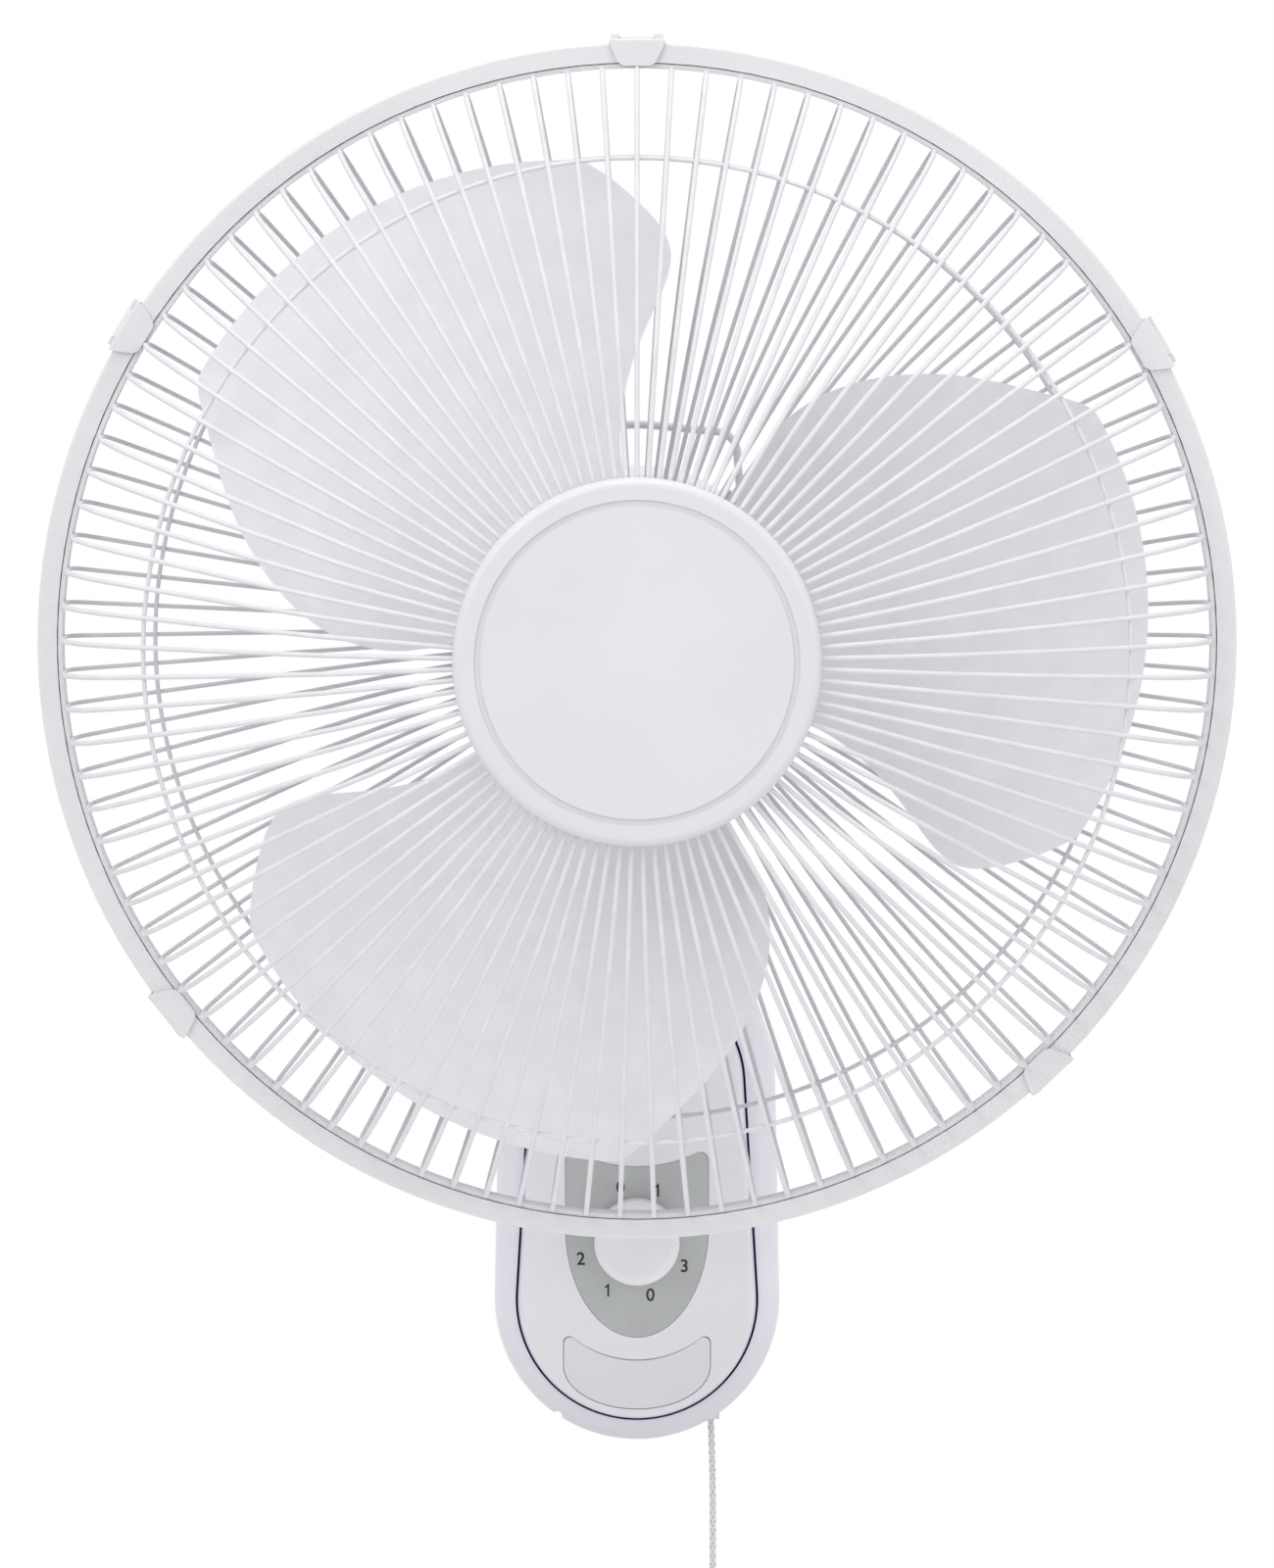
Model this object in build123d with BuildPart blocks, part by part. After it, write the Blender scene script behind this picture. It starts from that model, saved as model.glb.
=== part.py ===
"""A wall mounted oscillating fan with a 430 mm wire guard and a pull-cord switch.

Millimetres. The wall is the plane Y = 0 and the fan looks towards -Y. X points to the
right of somebody facing the fan, Z points up, and the origin is the centre of the back of
the wall bracket.

Three sets of working planes are used:
  the base is drawn on FRONT (X, Z) at a distance out from the wall, or on SIDE (out, Z);
  the head is drawn on HEAD (x, up) at a distance forward of the pan axis, or on HEAD_SIDE
  (forward, up), all of it tipped down by head_tilt about the tilt bolt;
  what turns about an upright axis in the head is drawn on level(up) (x, forward).
"""

import os
from math import atan2, cos, degrees, hypot, radians, sin, sqrt, tan

from build123d import *

os.makedirs("parts", exist_ok=True)

# ---------------------------------------------------------------------------------------
# Driving dimensions
# ---------------------------------------------------------------------------------------

# fits
slip = 0.3  # round a piece that only has to drop into place
running = 0.05  # radial, where one piece turns or slides in another
pressed = 0.02  # radial, where one piece is pushed tight into another

# pose of the head in the photograph
head_tilt = 5.5  # degrees, nose down
tilt_axis_out = 105.0  # the tilt bolt, from the wall
tilt_axis_up = 101.5  # the tilt bolt, above the bracket's centre
rotor_above_tilt = 98.0  # the rotor's axis, above the tilt bolt

# guard, measured from the front face of its rim
rim_front = 136.0  # forward of the pan axis
guard_radius = 215.0
rim_width = 7.0
rim_depth = 12.4
rim_wall = 2.0
band_width = 1.5  # steel band that the wires are welded to
band_depth = 4.8
band_recess = 0.7
band_seat = 0.8  # how far the rim's rear lip reaches in behind the bands
wire_count = 105
front_wire_d = 1.8
rear_wire_d = 1.6
weld_bite = 0.4
front_rise = 63.0  # middle of the front guard, ahead of the rim
front_shoulder = (110.0, 220.0)  # where the front wires bend: distance out, bend radius
front_corner = (22.0, 28.0)  # outer bend of the front wires: rise, bend radius
rear_drop = 62.0  # middle of the rear guard, behind the rim
rear_shoulder = (95.0, 150.0)
rear_corner = (15.0, 8.0)
bend_steps = (2, 3)  # straight steps in the shoulder and in the outer bend
front_hoop_radius = 174.0
rear_hoop_radius = 175.0
hoop_d = 1.6
hoop_sides = 8  # the rear hoop's section, so that its welds mesh cleanly
front_hoop_bite = 0.45
rear_hoop_bite = 0.5
front_plate_radius = 60.0
front_plate_hole = 30.0
front_wire_start = 48.0
front_plate_thick = 1.4
rear_plate_radius = 57.0
rear_plate_thick = 1.2
rear_wire_start = 42.0

# guard cap
cap_radius = 64.0
cap_front = 72.0  # ahead of the rim
cap_wall = 2.2
cap_edge = 3.0
groove_radius = 55.4
groove_width = 2.2
groove_depth = 0.9
cap_post_radius = 38.0
cap_post_size = 3.4
cap_screw_angles = (30.0, 150.0, 270.0)
screw_d = 3.0
screw_head_radius = 2.9
screw_head_height = 1.8

# rim clips: width at the rim's edge, then at its inner edge, then of the tab
clip_angles = (90.0, 147.8, 30.3, 218.2, 314.0)
clip_widths = (19.8, 13.4, 9.6)
clip_thick = 1.5
clip_wall = 1.2
clip_tab_reach = 1.2
clip_nib = 0.4
clip_knuckle = 12.0
clip_pin_d = 1.6
clip_pin_out = 1.9  # pin's centre, outside the rim
clip_pin_back = 10.9  # pin's centre, behind the rim's front
clip_lug = 3.0

# blades
blade_tip_radius = 183.0
blade_tip_turn = 27.0  # degrees, where the round tip ends
blade_middle = 130.0  # forward of the pan axis
blade_thick = 2.0
blade_camber = 600.0
blade_reach = 140.0  # half width of the bent sheet that each blade is cut from
blade_sections = ((26.0, 27.0), (80.0, 20.0), (130.0, 15.5), (192.0, 11.5))  # out, pitch
hub_radius = 34.0
hub_wall = 2.6
hub_boss = 9.5
hub_back = 108.0
hub_front = 150.0
hub_ribs = 6
hub_rib_back = 4.0  # the ribs stop this far short of the hub's back
pin_slot = 4.0
drive_pin_d = 3.8
drive_pin_length = 22.0
nut_radius = 16.0
nut_length = 12.0
nut_flutes = 12

# motor, measured forward of the pan axis
shaft_d = 8.0
shaft_front = 158.0
worm_d = 7.2
worm_back = -26.0
worm_front = 10.0
worm_grooves = 10
core_back = 26.0
core_length = 25.0
core_ring_radius = 20.0
core_ring_length = 2.0
stator_radius = 46.0
stator_bore = 22.3
air_gap = 0.6
slot_count = 16
slot_d = 7.0
slot_circle = 31.0
winding_in = 26.0
winding_out = 37.0
winding_length = 7.2
bracket_wall = 3.0
bracket_depth = 10.0
bracket_boss = 12.0
bearing_radius = 8.0
bearing_length = 9.0
motor_bolt_d = 4.0
motor_bolt_circle = 42.3
motor_bolt_angles = (20.0, 110.0, 200.0, 290.0)
cover_radius = 57.5
cover_wall = 2.2
cover_face = 2.5
cover_seam = 26.3
cover_back = -58.0
cover_round = 19.0
cover_post_circle = 30.0
cover_post_angles = (90.0, 210.0, 330.0)
cover_vent_angles = tuple(range(150, 211, 6)) + tuple(range(-30, 31, 6))
cover_vent = (24.0, 3.0)  # length along the motor, width
back_vents = 24
back_vent = (18.0, 2.6)
back_vent_circle = 29.0
cover_opening = (24.0, -50.0, 14.0, -38.0)  # half width, back, front, top
collar_radius = 21.0
collar_bore = 17.0
guard_nut_radius = 36.0
guard_nut_length = 8.0
guard_nut_flutes = 18

# one size of screw holds the head together
screw_length = 8.0

# gearbox and oscillation drive; positions are (x, forward) from the pan axis
gearbox_wall = 2.5
gearbox_left = -32.0
gearbox_right = 18.5
gearbox_back = -48.5
gearbox_front = 13.0
gearbox_floor = -40.0
gearbox_top = 26.0
gearbox_lid = 3.0
gearbox_post = 3.6
gearbox_bolts = ((-26.0, 12.0), (12.5, 12.0), (12.5, -33.0))  # (x, up)
rear_screw_up = 8.0
clutch_at = (-16.2, -16.0)
clutch_d = 5.2
clutch_top = 8.0
clutch_collar = 4.0
clutch_shelf = -11.0
wheel_radius = 12.3
wheel_thick = 8.0
wheel_teeth = 38
pinion_radius = 6.0
pinion_teeth = 15
gear_thick = 4.0
gear_bottom = -34.0
gear_gap = 0.3  # between the tips of two gears
gear_groove = 0.8
crank_teeth = 38
crank_at = (0.0, -30.0)
crank_throw = 10.0
crank_start = -24.6  # degrees, where the crank points at rest
crank_shaft_d = 6.0
crank_boss = 6.0
crank_top = -42.0
crank_thick = 3.0
link_top = -50.0
link_anchor_at = (10.8, -6.4)
link_pin_d = 4.0
link_pin_top = -49.0
link_slack_radius = 3.0  # the open pivot of the linkage
link_end_radius = 4.2
link_width = 5.5
link_thick = 3.0
rod_d = 4.8
rod_bottom = 16.5
rod_dog_radius = 4.0
rod_dog = 3.5
rod_top = 70.0
osc_knob_radius = 7.0
osc_knob_bottom = 66.0
osc_knob_height = 12.0
pivot_d = 9.0
pivot_head = 7.0
pivot_head_height = 2.0
pivot_boss = 7.2
pivot_boss_bottom = -60.0
pivot_bottom = -83.0
pivot_groove = (-72.5, 3.4, 3.6)  # up, width, radius left

# tilt yoke and neck
yoke_top = -61.0
yoke_width = 34.0
yoke_depth = 32.0
yoke_height = 19.0
tongue_width = 18.0
tongue_radius = 14.0
web_half = 10.0
ear_gap = 0.6  # between tongue and ear, filled by a friction washer
ear_radius = 15.0
ear_slot_radius = 19.0
washer_radius = 12.0
thrust_radius = 9.5
thrust_thick = 0.8
tilt_bolt_d = 8.0
bolt_head_radius = 7.0
bolt_head_height = 5.0
tilt_knob_radius = 12.0
tilt_knob_height = 12.0
tilt_knob_flutes = 10
lock_d = 4.0
lock_tip = 1.2
neck_width = 34.0
neck_plate = (24.0, 24.0, 60.0, 4.5)  # half width, bottom, top, thickness
neck_screws = ((-18.0, 30.0), (18.0, 30.0), (-18.0, 54.0), (18.0, 54.0))

# carry handle
handle_d = 3.0
handle_forward = 67.0
handle_line = ((38.4, 48.6), (36.5, 74.0), (0.0, 77.5))
handle_bends = (8.0, 60.0)
handle_foot_angle = 53.0
handle_foot_radius = 60.0
handle_pad = (12.0, 12.0, 3.0)
handle_pad_forward = 65.0
handle_screw_forward = 61.8

# base: outline (X, Z) and distances out from the wall
base_low = -65.0  # centre of the round bottom
base_high = 19.0  # centre of the round top
base_half_low = 55.8
base_half_high = 54.2
seam_half_low = 47.4
seam_half_high = 42.4
seam_gap = 0.9
base_wall = 2.5
wall_gap = 0.5
recess_depth = 8.0
housing_front = 72.0
housing_round = 9.0
neck_slot = (17.3, 15.7, 52.3)  # half width, back, front
tray_front = 75.5
tray_skirt = 12.0
tray_edge = 2.6
tray_posts = ((-36.0, -78.0), (36.0, -78.0), (-30.0, 34.0), (30.0, 34.0))
post_radius = 4.0
base_screw_length = 9.0
notch_at = -31.1
notch_radius = 1.9
gland_at = (-18.0, 30.0)  # (x, out)
gland_radius = 5.0
gland_flange = 7.0
gland_bore = 3.2
gland_bottom = -115.6
gland_top = -109.0

# dial
dial_centre_up = -41.7
dial_half = 27.9
dial_top = -5.2
dial_dip = -13.1
dial_side_low = -36.3
dial_bottom = -79.6
dial_thick = 1.0
dial_recess = 1.2
dial_round = 3.4
insert_half = 28.5
insert_top = -76.6
insert_dip = -88.7
insert_side_low = -90.6
insert_bottom = -107.5
insert_thick = 1.5
insert_round = 2.4

# speed switch and its knob
knob_radius = 16.6
knob_height = 16.0
knob_wall = 2.0
knob_gap = 0.6
knob_round = 4.0
spindle_d = 6.0
spindle_back = 52.0
spindle_front = 88.0
switch_size = 34.0
switch_back = 30.0
switch_front = 50.0
switch_ear = (12.0, 50.0, 2.0)
switch_screw_at = 21.0
switch_post = 3.6
ratchet_radius = 12.0
ratchet_thick = 3.0
ratchet_teeth = 8
lever_back = 55.0
lever_thick = 3.0
lever_hub = 8.0
lever_rest = 20.2  # degrees above level
lever_width = 6.0
lever_fork = (24.0, 33.0, 7.2, 4.4)  # from, to, depth, slot
spring_radius = 6.5
spring_back = 60.0
spring_length = 6.0

# pull cord
cord_d = 2.8
cord_x = 29.0
cord_out = 56.5
cord_mouth = -113.5  # where the cord leaves its guide
cord_top = -24.3
cord_knot = 3.0
cord_joint = 0.07  # its first run leans, so its end face is a little higher on one side
cord_route = ((29.7, -129.5), (29.9, -159.5), (29.4, -215.5), (29.6, -265.5))
guide_radius = 3.4
guide_flange = 4.6
guide_bore = 1.7
guide_top = -104.6
bell_radius = 7.0
bell_neck = 2.5
bell_height = 26.0

# wall bracket
plate_half = 36.0
plate_up = 50.0
plate_thick = 2.0
wall_hole_d = 5.0
wall_hole_spacing = (50.0, 70.0)
hook_at = 20.0
hook_top = 2.0
hook_width = 10.0
hook_lip = 7.0
hook_slot = 8.0
tongue_half = 10.0
lock_flange_up = -107.0
lock_flange_out = 8.0
lock_boss_half = 7.0
lock_screw_d = 4.0
lock_screw_out = 4.5
lock_screw_seat = -116.0
lock_screw_top = -104.0
lock_head = (3.5, 2.4)  # radius, height

# inside the base, (left, right, bottom, top, depth)
terminal_box = (-30.0, -6.0, -99.0, -85.0, 12.0)
capacitor_box = (2.0, 27.0, -99.0, -81.0, 16.0)

# ---------------------------------------------------------------------------------------
# Frames
# ---------------------------------------------------------------------------------------

tilt_sin = sin(radians(head_tilt))
tilt_cos = cos(radians(head_tilt))
forward = Vector(0, -tilt_cos, -tilt_sin)
upward = Vector(0, -tilt_sin, tilt_cos)
tilt_point = Vector(0, -tilt_axis_out, tilt_axis_up)
head_point = tilt_point + upward * rotor_above_tilt

FRONT = Plane(origin=(0, 0, 0), x_dir=(1, 0, 0), z_dir=(0, -1, 0))
SIDE = Plane(origin=(0, 0, 0), x_dir=(0, -1, 0), z_dir=(-1, 0, 0))
HEAD = Plane(origin=head_point, x_dir=(1, 0, 0), z_dir=forward)
HEAD_SIDE = Plane(origin=head_point, x_dir=forward, z_dir=(-1, 0, 0))
HEAD_PLAN = Plane(origin=head_point, x_dir=(1, 0, 0), z_dir=upward * -1)
ROTOR_AXIS = Axis(head_point, forward)
KNOB_PLANE = Plane(origin=(0, 0, dial_centre_up), x_dir=(1, 0, 0), z_dir=(0, -1, 0))


ON_BACK = (Align.CENTER, Align.CENTER, Align.MIN)  # stands on its back face
ON_FRONT = (Align.CENTER, Align.CENTER, Align.MAX)  # hangs from its front face


def level(up):
    """The plane (x, forward) at a height over the rotor's axis; extruding goes down."""
    return HEAD_PLAN.offset(-up)


def in_head(x, up, ahead):
    """Where a piece that lies along the rotor's axis stands, by its back."""
    return HEAD.location * Pos(x, up, ahead)


def hung(at, up):
    """Where a piece that is upright in the head hangs from, by its top."""
    return level(up).location * Pos(at[0], at[1], 0)


def ring_profile(back, front, inner, outer, mode=Mode.ADD):
    """A rectangle on HEAD_SIDE, between two distances forward and two radii."""
    with Locations(((back + front) / 2, (inner + outer) / 2)):
        Rectangle(front - back, outer - inner, mode=mode)


def box_profile(left, right, bottom, top, mode=Mode.ADD):
    """A rectangle by its four sides."""
    with Locations(((left + right) / 2, (bottom + top) / 2)):
        Rectangle(right - left, top - bottom, mode=mode)


# ---------------------------------------------------------------------------------------
# Wire guards
# ---------------------------------------------------------------------------------------

rim_inner = guard_radius - rim_width
band_outer = rim_inner - slip
band_inner = band_outer - band_width
band_front = rim_front - band_recess
front_band_back = band_front - band_depth
rear_band_back = front_band_back - band_depth
rim_back = rim_front - rim_depth
front_wire_out = band_inner - front_wire_d / 2 + weld_bite
rear_wire_out = band_inner - rear_wire_d / 2 + weld_bite
front_plate_face = rim_front + front_rise
rear_plate_face = rim_front - rear_drop
rear_plate_back = rear_plate_face - rear_plate_thick
weld_end = 0.6  # the wires stop this far short of the band's far edge


def wire_line(start, face, shoulder, corner, end_out, end):
    """A guard wire's route in (out, forward), its two bends made in short straight steps."""
    smooth = FilletPolyline(
        (start, face), (shoulder[0], face), (end_out, corner[0]), (end_out, end),
        radius=[shoulder[1], corner[1]], mode=Mode.PRIVATE,
    )
    bends = smooth.edges().filter_by(GeomType.CIRCLE).sort_by(Axis.X)
    stops = [bend @ (step / steps) for bend, steps in zip(bends, bend_steps)
             for step in range(steps + 1)]
    return Polyline((start, face), *sorted((p.X, p.Z or p.Y) for p in stops), (end_out, end))


def hoop_centre(route, radius, wire_d, side, bite):
    """Where a hoop of the given radius lies against a wire, on one side of it."""
    samples = [route @ (step / 400) for step in range(401)]
    nearest = min(samples, key=lambda p: abs(p.X - radius))
    return nearest.Z + side * (wire_d / 2 + hoop_d / 2 - bite)


with BuildPart() as front_wire:
    with BuildLine(Plane.XZ) as front_route:
        wire_line(
            front_wire_start, front_plate_face, front_shoulder,
            (rim_front + front_corner[0], front_corner[1]),
            front_wire_out, front_band_back + weld_end,
        )
    with BuildSketch(Plane(origin=front_route.line @ 0, z_dir=front_route.line % 0)):
        Circle(front_wire_d / 2)
    sweep(path=front_route.line, transition=Transition.RIGHT)

with BuildPart() as rear_wire:
    with BuildLine(Plane.XZ) as rear_route:
        wire_line(
            rear_wire_start, rear_plate_face, rear_shoulder,
            (rim_front - rear_corner[0], rear_corner[1]),
            rear_wire_out, front_band_back - weld_end,
        )
    with BuildSketch(Plane(origin=rear_route.line @ 0, z_dir=rear_route.line % 0)):
        Circle(rear_wire_d / 2)
    sweep(path=rear_route.line, transition=Transition.RIGHT)

front_hoop = hoop_centre(
    front_route.line, front_hoop_radius, front_wire_d, -1, front_hoop_bite
)
rear_hoop = hoop_centre(rear_route.line, rear_hoop_radius, rear_wire_d, 1, rear_hoop_bite)

with BuildPart() as front_guard:
    with BuildSketch(HEAD_SIDE):
        ring_profile(front_band_back, band_front, band_inner, band_outer)
        ring_profile(
            front_plate_face - front_plate_thick, front_plate_face,
            front_plate_hole, front_plate_radius,
        )
        with Locations((front_hoop, front_hoop_radius)):
            Circle(hoop_d / 2)
    revolve(axis=ROTOR_AXIS)
    with Locations(HEAD.location):
        with PolarLocations(0, wire_count, start_angle=90):
            add(front_wire.part)
        for angle in cap_screw_angles:
            with Locations(Rot(0, 0, angle) * Pos(cap_post_radius, 0, front_plate_face)):
                Cylinder(screw_d / 2 + slip, 4 * front_plate_thick, mode=Mode.SUBTRACT)
front_guard.part.label = "front_guard"
export_step(front_guard.part, "parts/front_guard.step")

with BuildPart() as rear_guard:
    with BuildSketch(HEAD_SIDE):
        ring_profile(rear_band_back, front_band_back, band_inner, band_outer)
        ring_profile(
            rear_plate_back, rear_plate_face, collar_radius + slip, rear_plate_radius
        )
        with Locations((rear_hoop, rear_hoop_radius)):
            RegularPolygon(hoop_d / 2, hoop_sides, rotation=180 / hoop_sides)
    revolve(axis=ROTOR_AXIS)
    with Locations(HEAD.location):
        with PolarLocations(0, wire_count, start_angle=90):
            add(rear_wire.part)
rear_guard.part.label = "rear_guard"
export_step(rear_guard.part, "parts/rear_guard.step")

# ---------------------------------------------------------------------------------------
# Rim ring, its clips and their pins
# ---------------------------------------------------------------------------------------

pin_out = guard_radius + clip_pin_out
pin_ahead = rim_front - clip_pin_back
knuckle_radius = clip_pin_out - slip + 0.05
lug_start = clip_knuckle / 2 + slip
lug_middle = lug_start + clip_lug / 2

with BuildPart() as rim_ring:
    with BuildSketch(HEAD_SIDE):
        ring_profile(rim_back, rim_front, rim_inner, guard_radius)
        ring_profile(rim_back, rear_band_back, band_outer - band_seat, rim_inner)
        with Locations((rim_front - rim_depth / 2 - rim_wall / 2, guard_radius - rim_width / 2)):
            Rectangle(rim_depth - rim_wall, rim_width - 2 * rim_wall, mode=Mode.SUBTRACT)
    revolve(axis=ROTOR_AXIS)
    fillet(rim_ring.edges().filter_by(GeomType.CIRCLE).group_by(SortBy.RADIUS)[-1], 0.9)
    for angle in clip_angles:
        with Locations(HEAD.location * Rot(0, 0, angle - 90)):
            with Locations(
                (-lug_middle, pin_out - 0.4, pin_ahead), (lug_middle, pin_out - 0.4, pin_ahead)
            ):
                Box(clip_lug, 2 * clip_pin_out, 2 * (clip_pin_back - 8.6) / 1.6)
            with Locations((0, pin_out, pin_ahead)):
                Cylinder(
                    clip_pin_d / 2 + pressed, clip_widths[0] + 1,
                    rotation=(0, 90, 0), mode=Mode.SUBTRACT,
                )
rim_ring.part.label = "rim_ring"
export_step(rim_ring.part, "parts/rim_ring.step")

with BuildPart() as clip_pins:
    for angle in clip_angles:
        with Locations(HEAD.location * Rot(0, 0, angle - 90)):
            with Locations((0, pin_out, pin_ahead)):
                Cylinder(clip_pin_d / 2, clip_knuckle + 2 * clip_lug, rotation=(0, 90, 0))
clip_pins.part.label = "clip_pins"
export_step(clip_pins.part, "parts/clip_pins.step")

# one clip on the bench: x along the rim, y outward, z forward
clip_back_face = rim_front + 0.1
clip_face = clip_back_face + clip_thick
clip_inside = guard_radius + 0.15
clip_outside = clip_inside + clip_wall

with BuildPart() as bench_clip:
    with BuildSketch(Plane.XY.offset(clip_back_face)):
        with BuildLine():
            Polyline(
                (-clip_widths[0] / 2, clip_outside), (clip_widths[0] / 2, clip_outside),
                (clip_widths[0] / 2 - 0.4, guard_radius - 1), (clip_widths[1] / 2, rim_inner),
                (clip_widths[2] / 2, rim_inner - clip_tab_reach),
                (-clip_widths[2] / 2, rim_inner - clip_tab_reach),
                (-clip_widths[1] / 2, rim_inner), (-clip_widths[0] / 2 + 0.4, guard_radius - 1),
                close=True,
            )
        make_face()
    extrude(amount=clip_thick)
    with Locations((0, (clip_inside + clip_outside) / 2, (pin_ahead + 3.4 + clip_face) / 2)):
        Box(clip_widths[0], clip_wall, clip_face - pin_ahead - 3.4)
    with Locations((0, (clip_inside + clip_outside) / 2, pin_ahead + 2)):
        Box(clip_knuckle, clip_wall, 4)
    with Locations((0, pin_out, pin_ahead)):
        Cylinder(knuckle_radius, clip_knuckle, rotation=(0, 90, 0))
        Cylinder(
            clip_pin_d / 2 + running, clip_knuckle + 1, rotation=(0, 90, 0), mode=Mode.SUBTRACT
        )
    nib_middle = rim_inner - clip_tab_reach + 0.4
    with Locations((0, nib_middle, clip_back_face - clip_nib / 2)):
        Box(clip_widths[2], 0.8, clip_nib)
    fillet(bench_clip.faces().sort_by(Axis.Z)[-1].edges().group_by(Axis.Y)[-1], 0.7)

for number, angle in enumerate(clip_angles, 1):
    with BuildPart() as rim_clip:
        with Locations(HEAD.location * Rot(0, 0, angle - 90)):
            add(bench_clip.part)
    rim_clip.part.label = f"rim_clip_{number}"
    export_step(rim_clip.part, f"parts/rim_clip_{number}.step")

# ---------------------------------------------------------------------------------------
# Guard cap
# ---------------------------------------------------------------------------------------

cap_face = rim_front + cap_front
cap_back = front_plate_face + front_wire_d / 2 + slip
cap_inside = cap_face - cap_wall

with BuildPart() as guard_cap:
    with BuildSketch(HEAD_SIDE):
        with BuildLine():
            Polyline(
                (cap_back, cap_radius), (cap_face, cap_radius), (cap_face, 0), (cap_inside, 0),
                (cap_inside, cap_radius - cap_wall), (cap_back, cap_radius - cap_wall),
                close=True,
            )
        make_face()
        with Locations((cap_face, groove_radius)):
            Rectangle(2 * groove_depth, groove_width, mode=Mode.SUBTRACT)
    revolve(axis=ROTOR_AXIS)
    rims = guard_cap.edges().filter_by(GeomType.CIRCLE)
    fillet(rims.group_by(SortBy.RADIUS)[-1].sort_by(ROTOR_AXIS)[-1], cap_edge)
    for angle in cap_screw_angles:
        with Locations(HEAD.location * Rot(0, 0, angle)):
            with Locations((cap_post_radius, 0, front_plate_face)):
                Cylinder(cap_post_size, cap_inside - front_plate_face, align=ON_BACK)
                Cylinder(
                    screw_d / 2 + pressed, screw_length, align=ON_BACK, mode=Mode.SUBTRACT
                )
guard_cap.part.label = "guard_cap"
export_step(guard_cap.part, "parts/guard_cap.step")

# ---------------------------------------------------------------------------------------
# Fan blade, its nut and the rotor
# ---------------------------------------------------------------------------------------

shaft_radius = shaft_d / 2
sag = blade_camber - sqrt(blade_camber**2 - blade_reach**2)
tip_end = (
    blade_tip_radius * cos(radians(blade_tip_turn)),
    blade_tip_radius * sin(radians(blade_tip_turn)),
)

# one blade on the bench: x outward, y against the turning direction, z forward
with BuildPart() as bench_blade:
    for out, pitch in blade_sections:
        chord = (0, cos(radians(pitch)), sin(radians(pitch)))
        with BuildSketch(Plane(origin=(out, 0, 0), x_dir=chord, z_dir=(1, 0, 0))):
            with BuildLine():
                ThreePointArc((-blade_reach, sag), (0, 0), (blade_reach, sag))
                Line((blade_reach, sag), (blade_reach, sag + blade_thick))
                ThreePointArc(
                    (blade_reach, sag + blade_thick), (0, blade_thick),
                    (-blade_reach, sag + blade_thick),
                )
                Line((-blade_reach, sag + blade_thick), (-blade_reach, sag))
            make_face()
    loft()
    with BuildSketch(Plane.XY.offset(-blade_reach)):
        with BuildLine():
            Spline(
                (20, -22), (64, -30), (98, -61), (119, -82), (140, -79), (160, -70),
                tangents=[(1, 0), (0.85, 0.5)],
            )
            ThreePointArc((160, -70), (blade_tip_radius, 0), tip_end)
            Spline(
                tip_end, (150, 90), (114, 98), (62, 90), (42, 70), (34, 50), (20, 26),
                tangents=[(-0.5, 0.87), (-0.6, -0.8)],
            )
            Line((20, 26), (20, -22))
        make_face()
    extrude(amount=2 * blade_reach, mode=Mode.INTERSECT)
    Cylinder(hub_radius - hub_wall / 2, 2 * blade_reach, mode=Mode.SUBTRACT)

with BuildPart() as fan_blade:
    with BuildSketch(HEAD_SIDE):
        ring_profile(hub_back, hub_front, hub_radius - hub_wall, hub_radius)
        ring_profile(hub_front - hub_wall, hub_front, shaft_radius + running, hub_radius)
        ring_profile(hub_back, hub_front, shaft_radius + running, hub_boss)
    revolve(axis=ROTOR_AXIS)
    with Locations(in_head(0, 0, hub_back + hub_rib_back)):
        with PolarLocations((hub_boss + hub_radius - hub_wall) / 2, hub_ribs):
            Box(
                hub_radius - hub_wall - hub_boss + 1, hub_wall,
                hub_front - hub_back - hub_rib_back - hub_wall / 2, align=ON_BACK,
            )
    with Locations(in_head(0, 0, blade_middle)):
        with PolarLocations(0, 3):
            add(bench_blade.part)
    with Locations(in_head(0, 0, hub_back)):
        Box(2 * hub_boss + 4, pin_slot, 2 * pin_slot, mode=Mode.SUBTRACT)
fan_blade.part.label = "fan_blade"
export_step(fan_blade.part, "parts/fan_blade.step")

with BuildPart() as spinner_nut:
    with Locations(in_head(0, 0, hub_front)):
        Cylinder(nut_radius, nut_length, align=ON_BACK)
    fillet(spinner_nut.faces().sort_by(ROTOR_AXIS)[-1].edges(), 3)
    with Locations(in_head(0, 0, hub_front)):
        with PolarLocations(nut_radius, nut_flutes):
            Cylinder(1.2, nut_length, align=ON_BACK, mode=Mode.SUBTRACT)
        Cylinder(
            shaft_radius + pressed, shaft_front - hub_front + slip, align=ON_BACK,
            mode=Mode.SUBTRACT,
        )
spinner_nut.part.label = "spinner_nut"
export_step(spinner_nut.part, "parts/spinner_nut.step")

pin_ahead_of_hub = hub_back + pin_slot / 2
groove_pitch = (worm_front - worm_back) / worm_grooves

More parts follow.
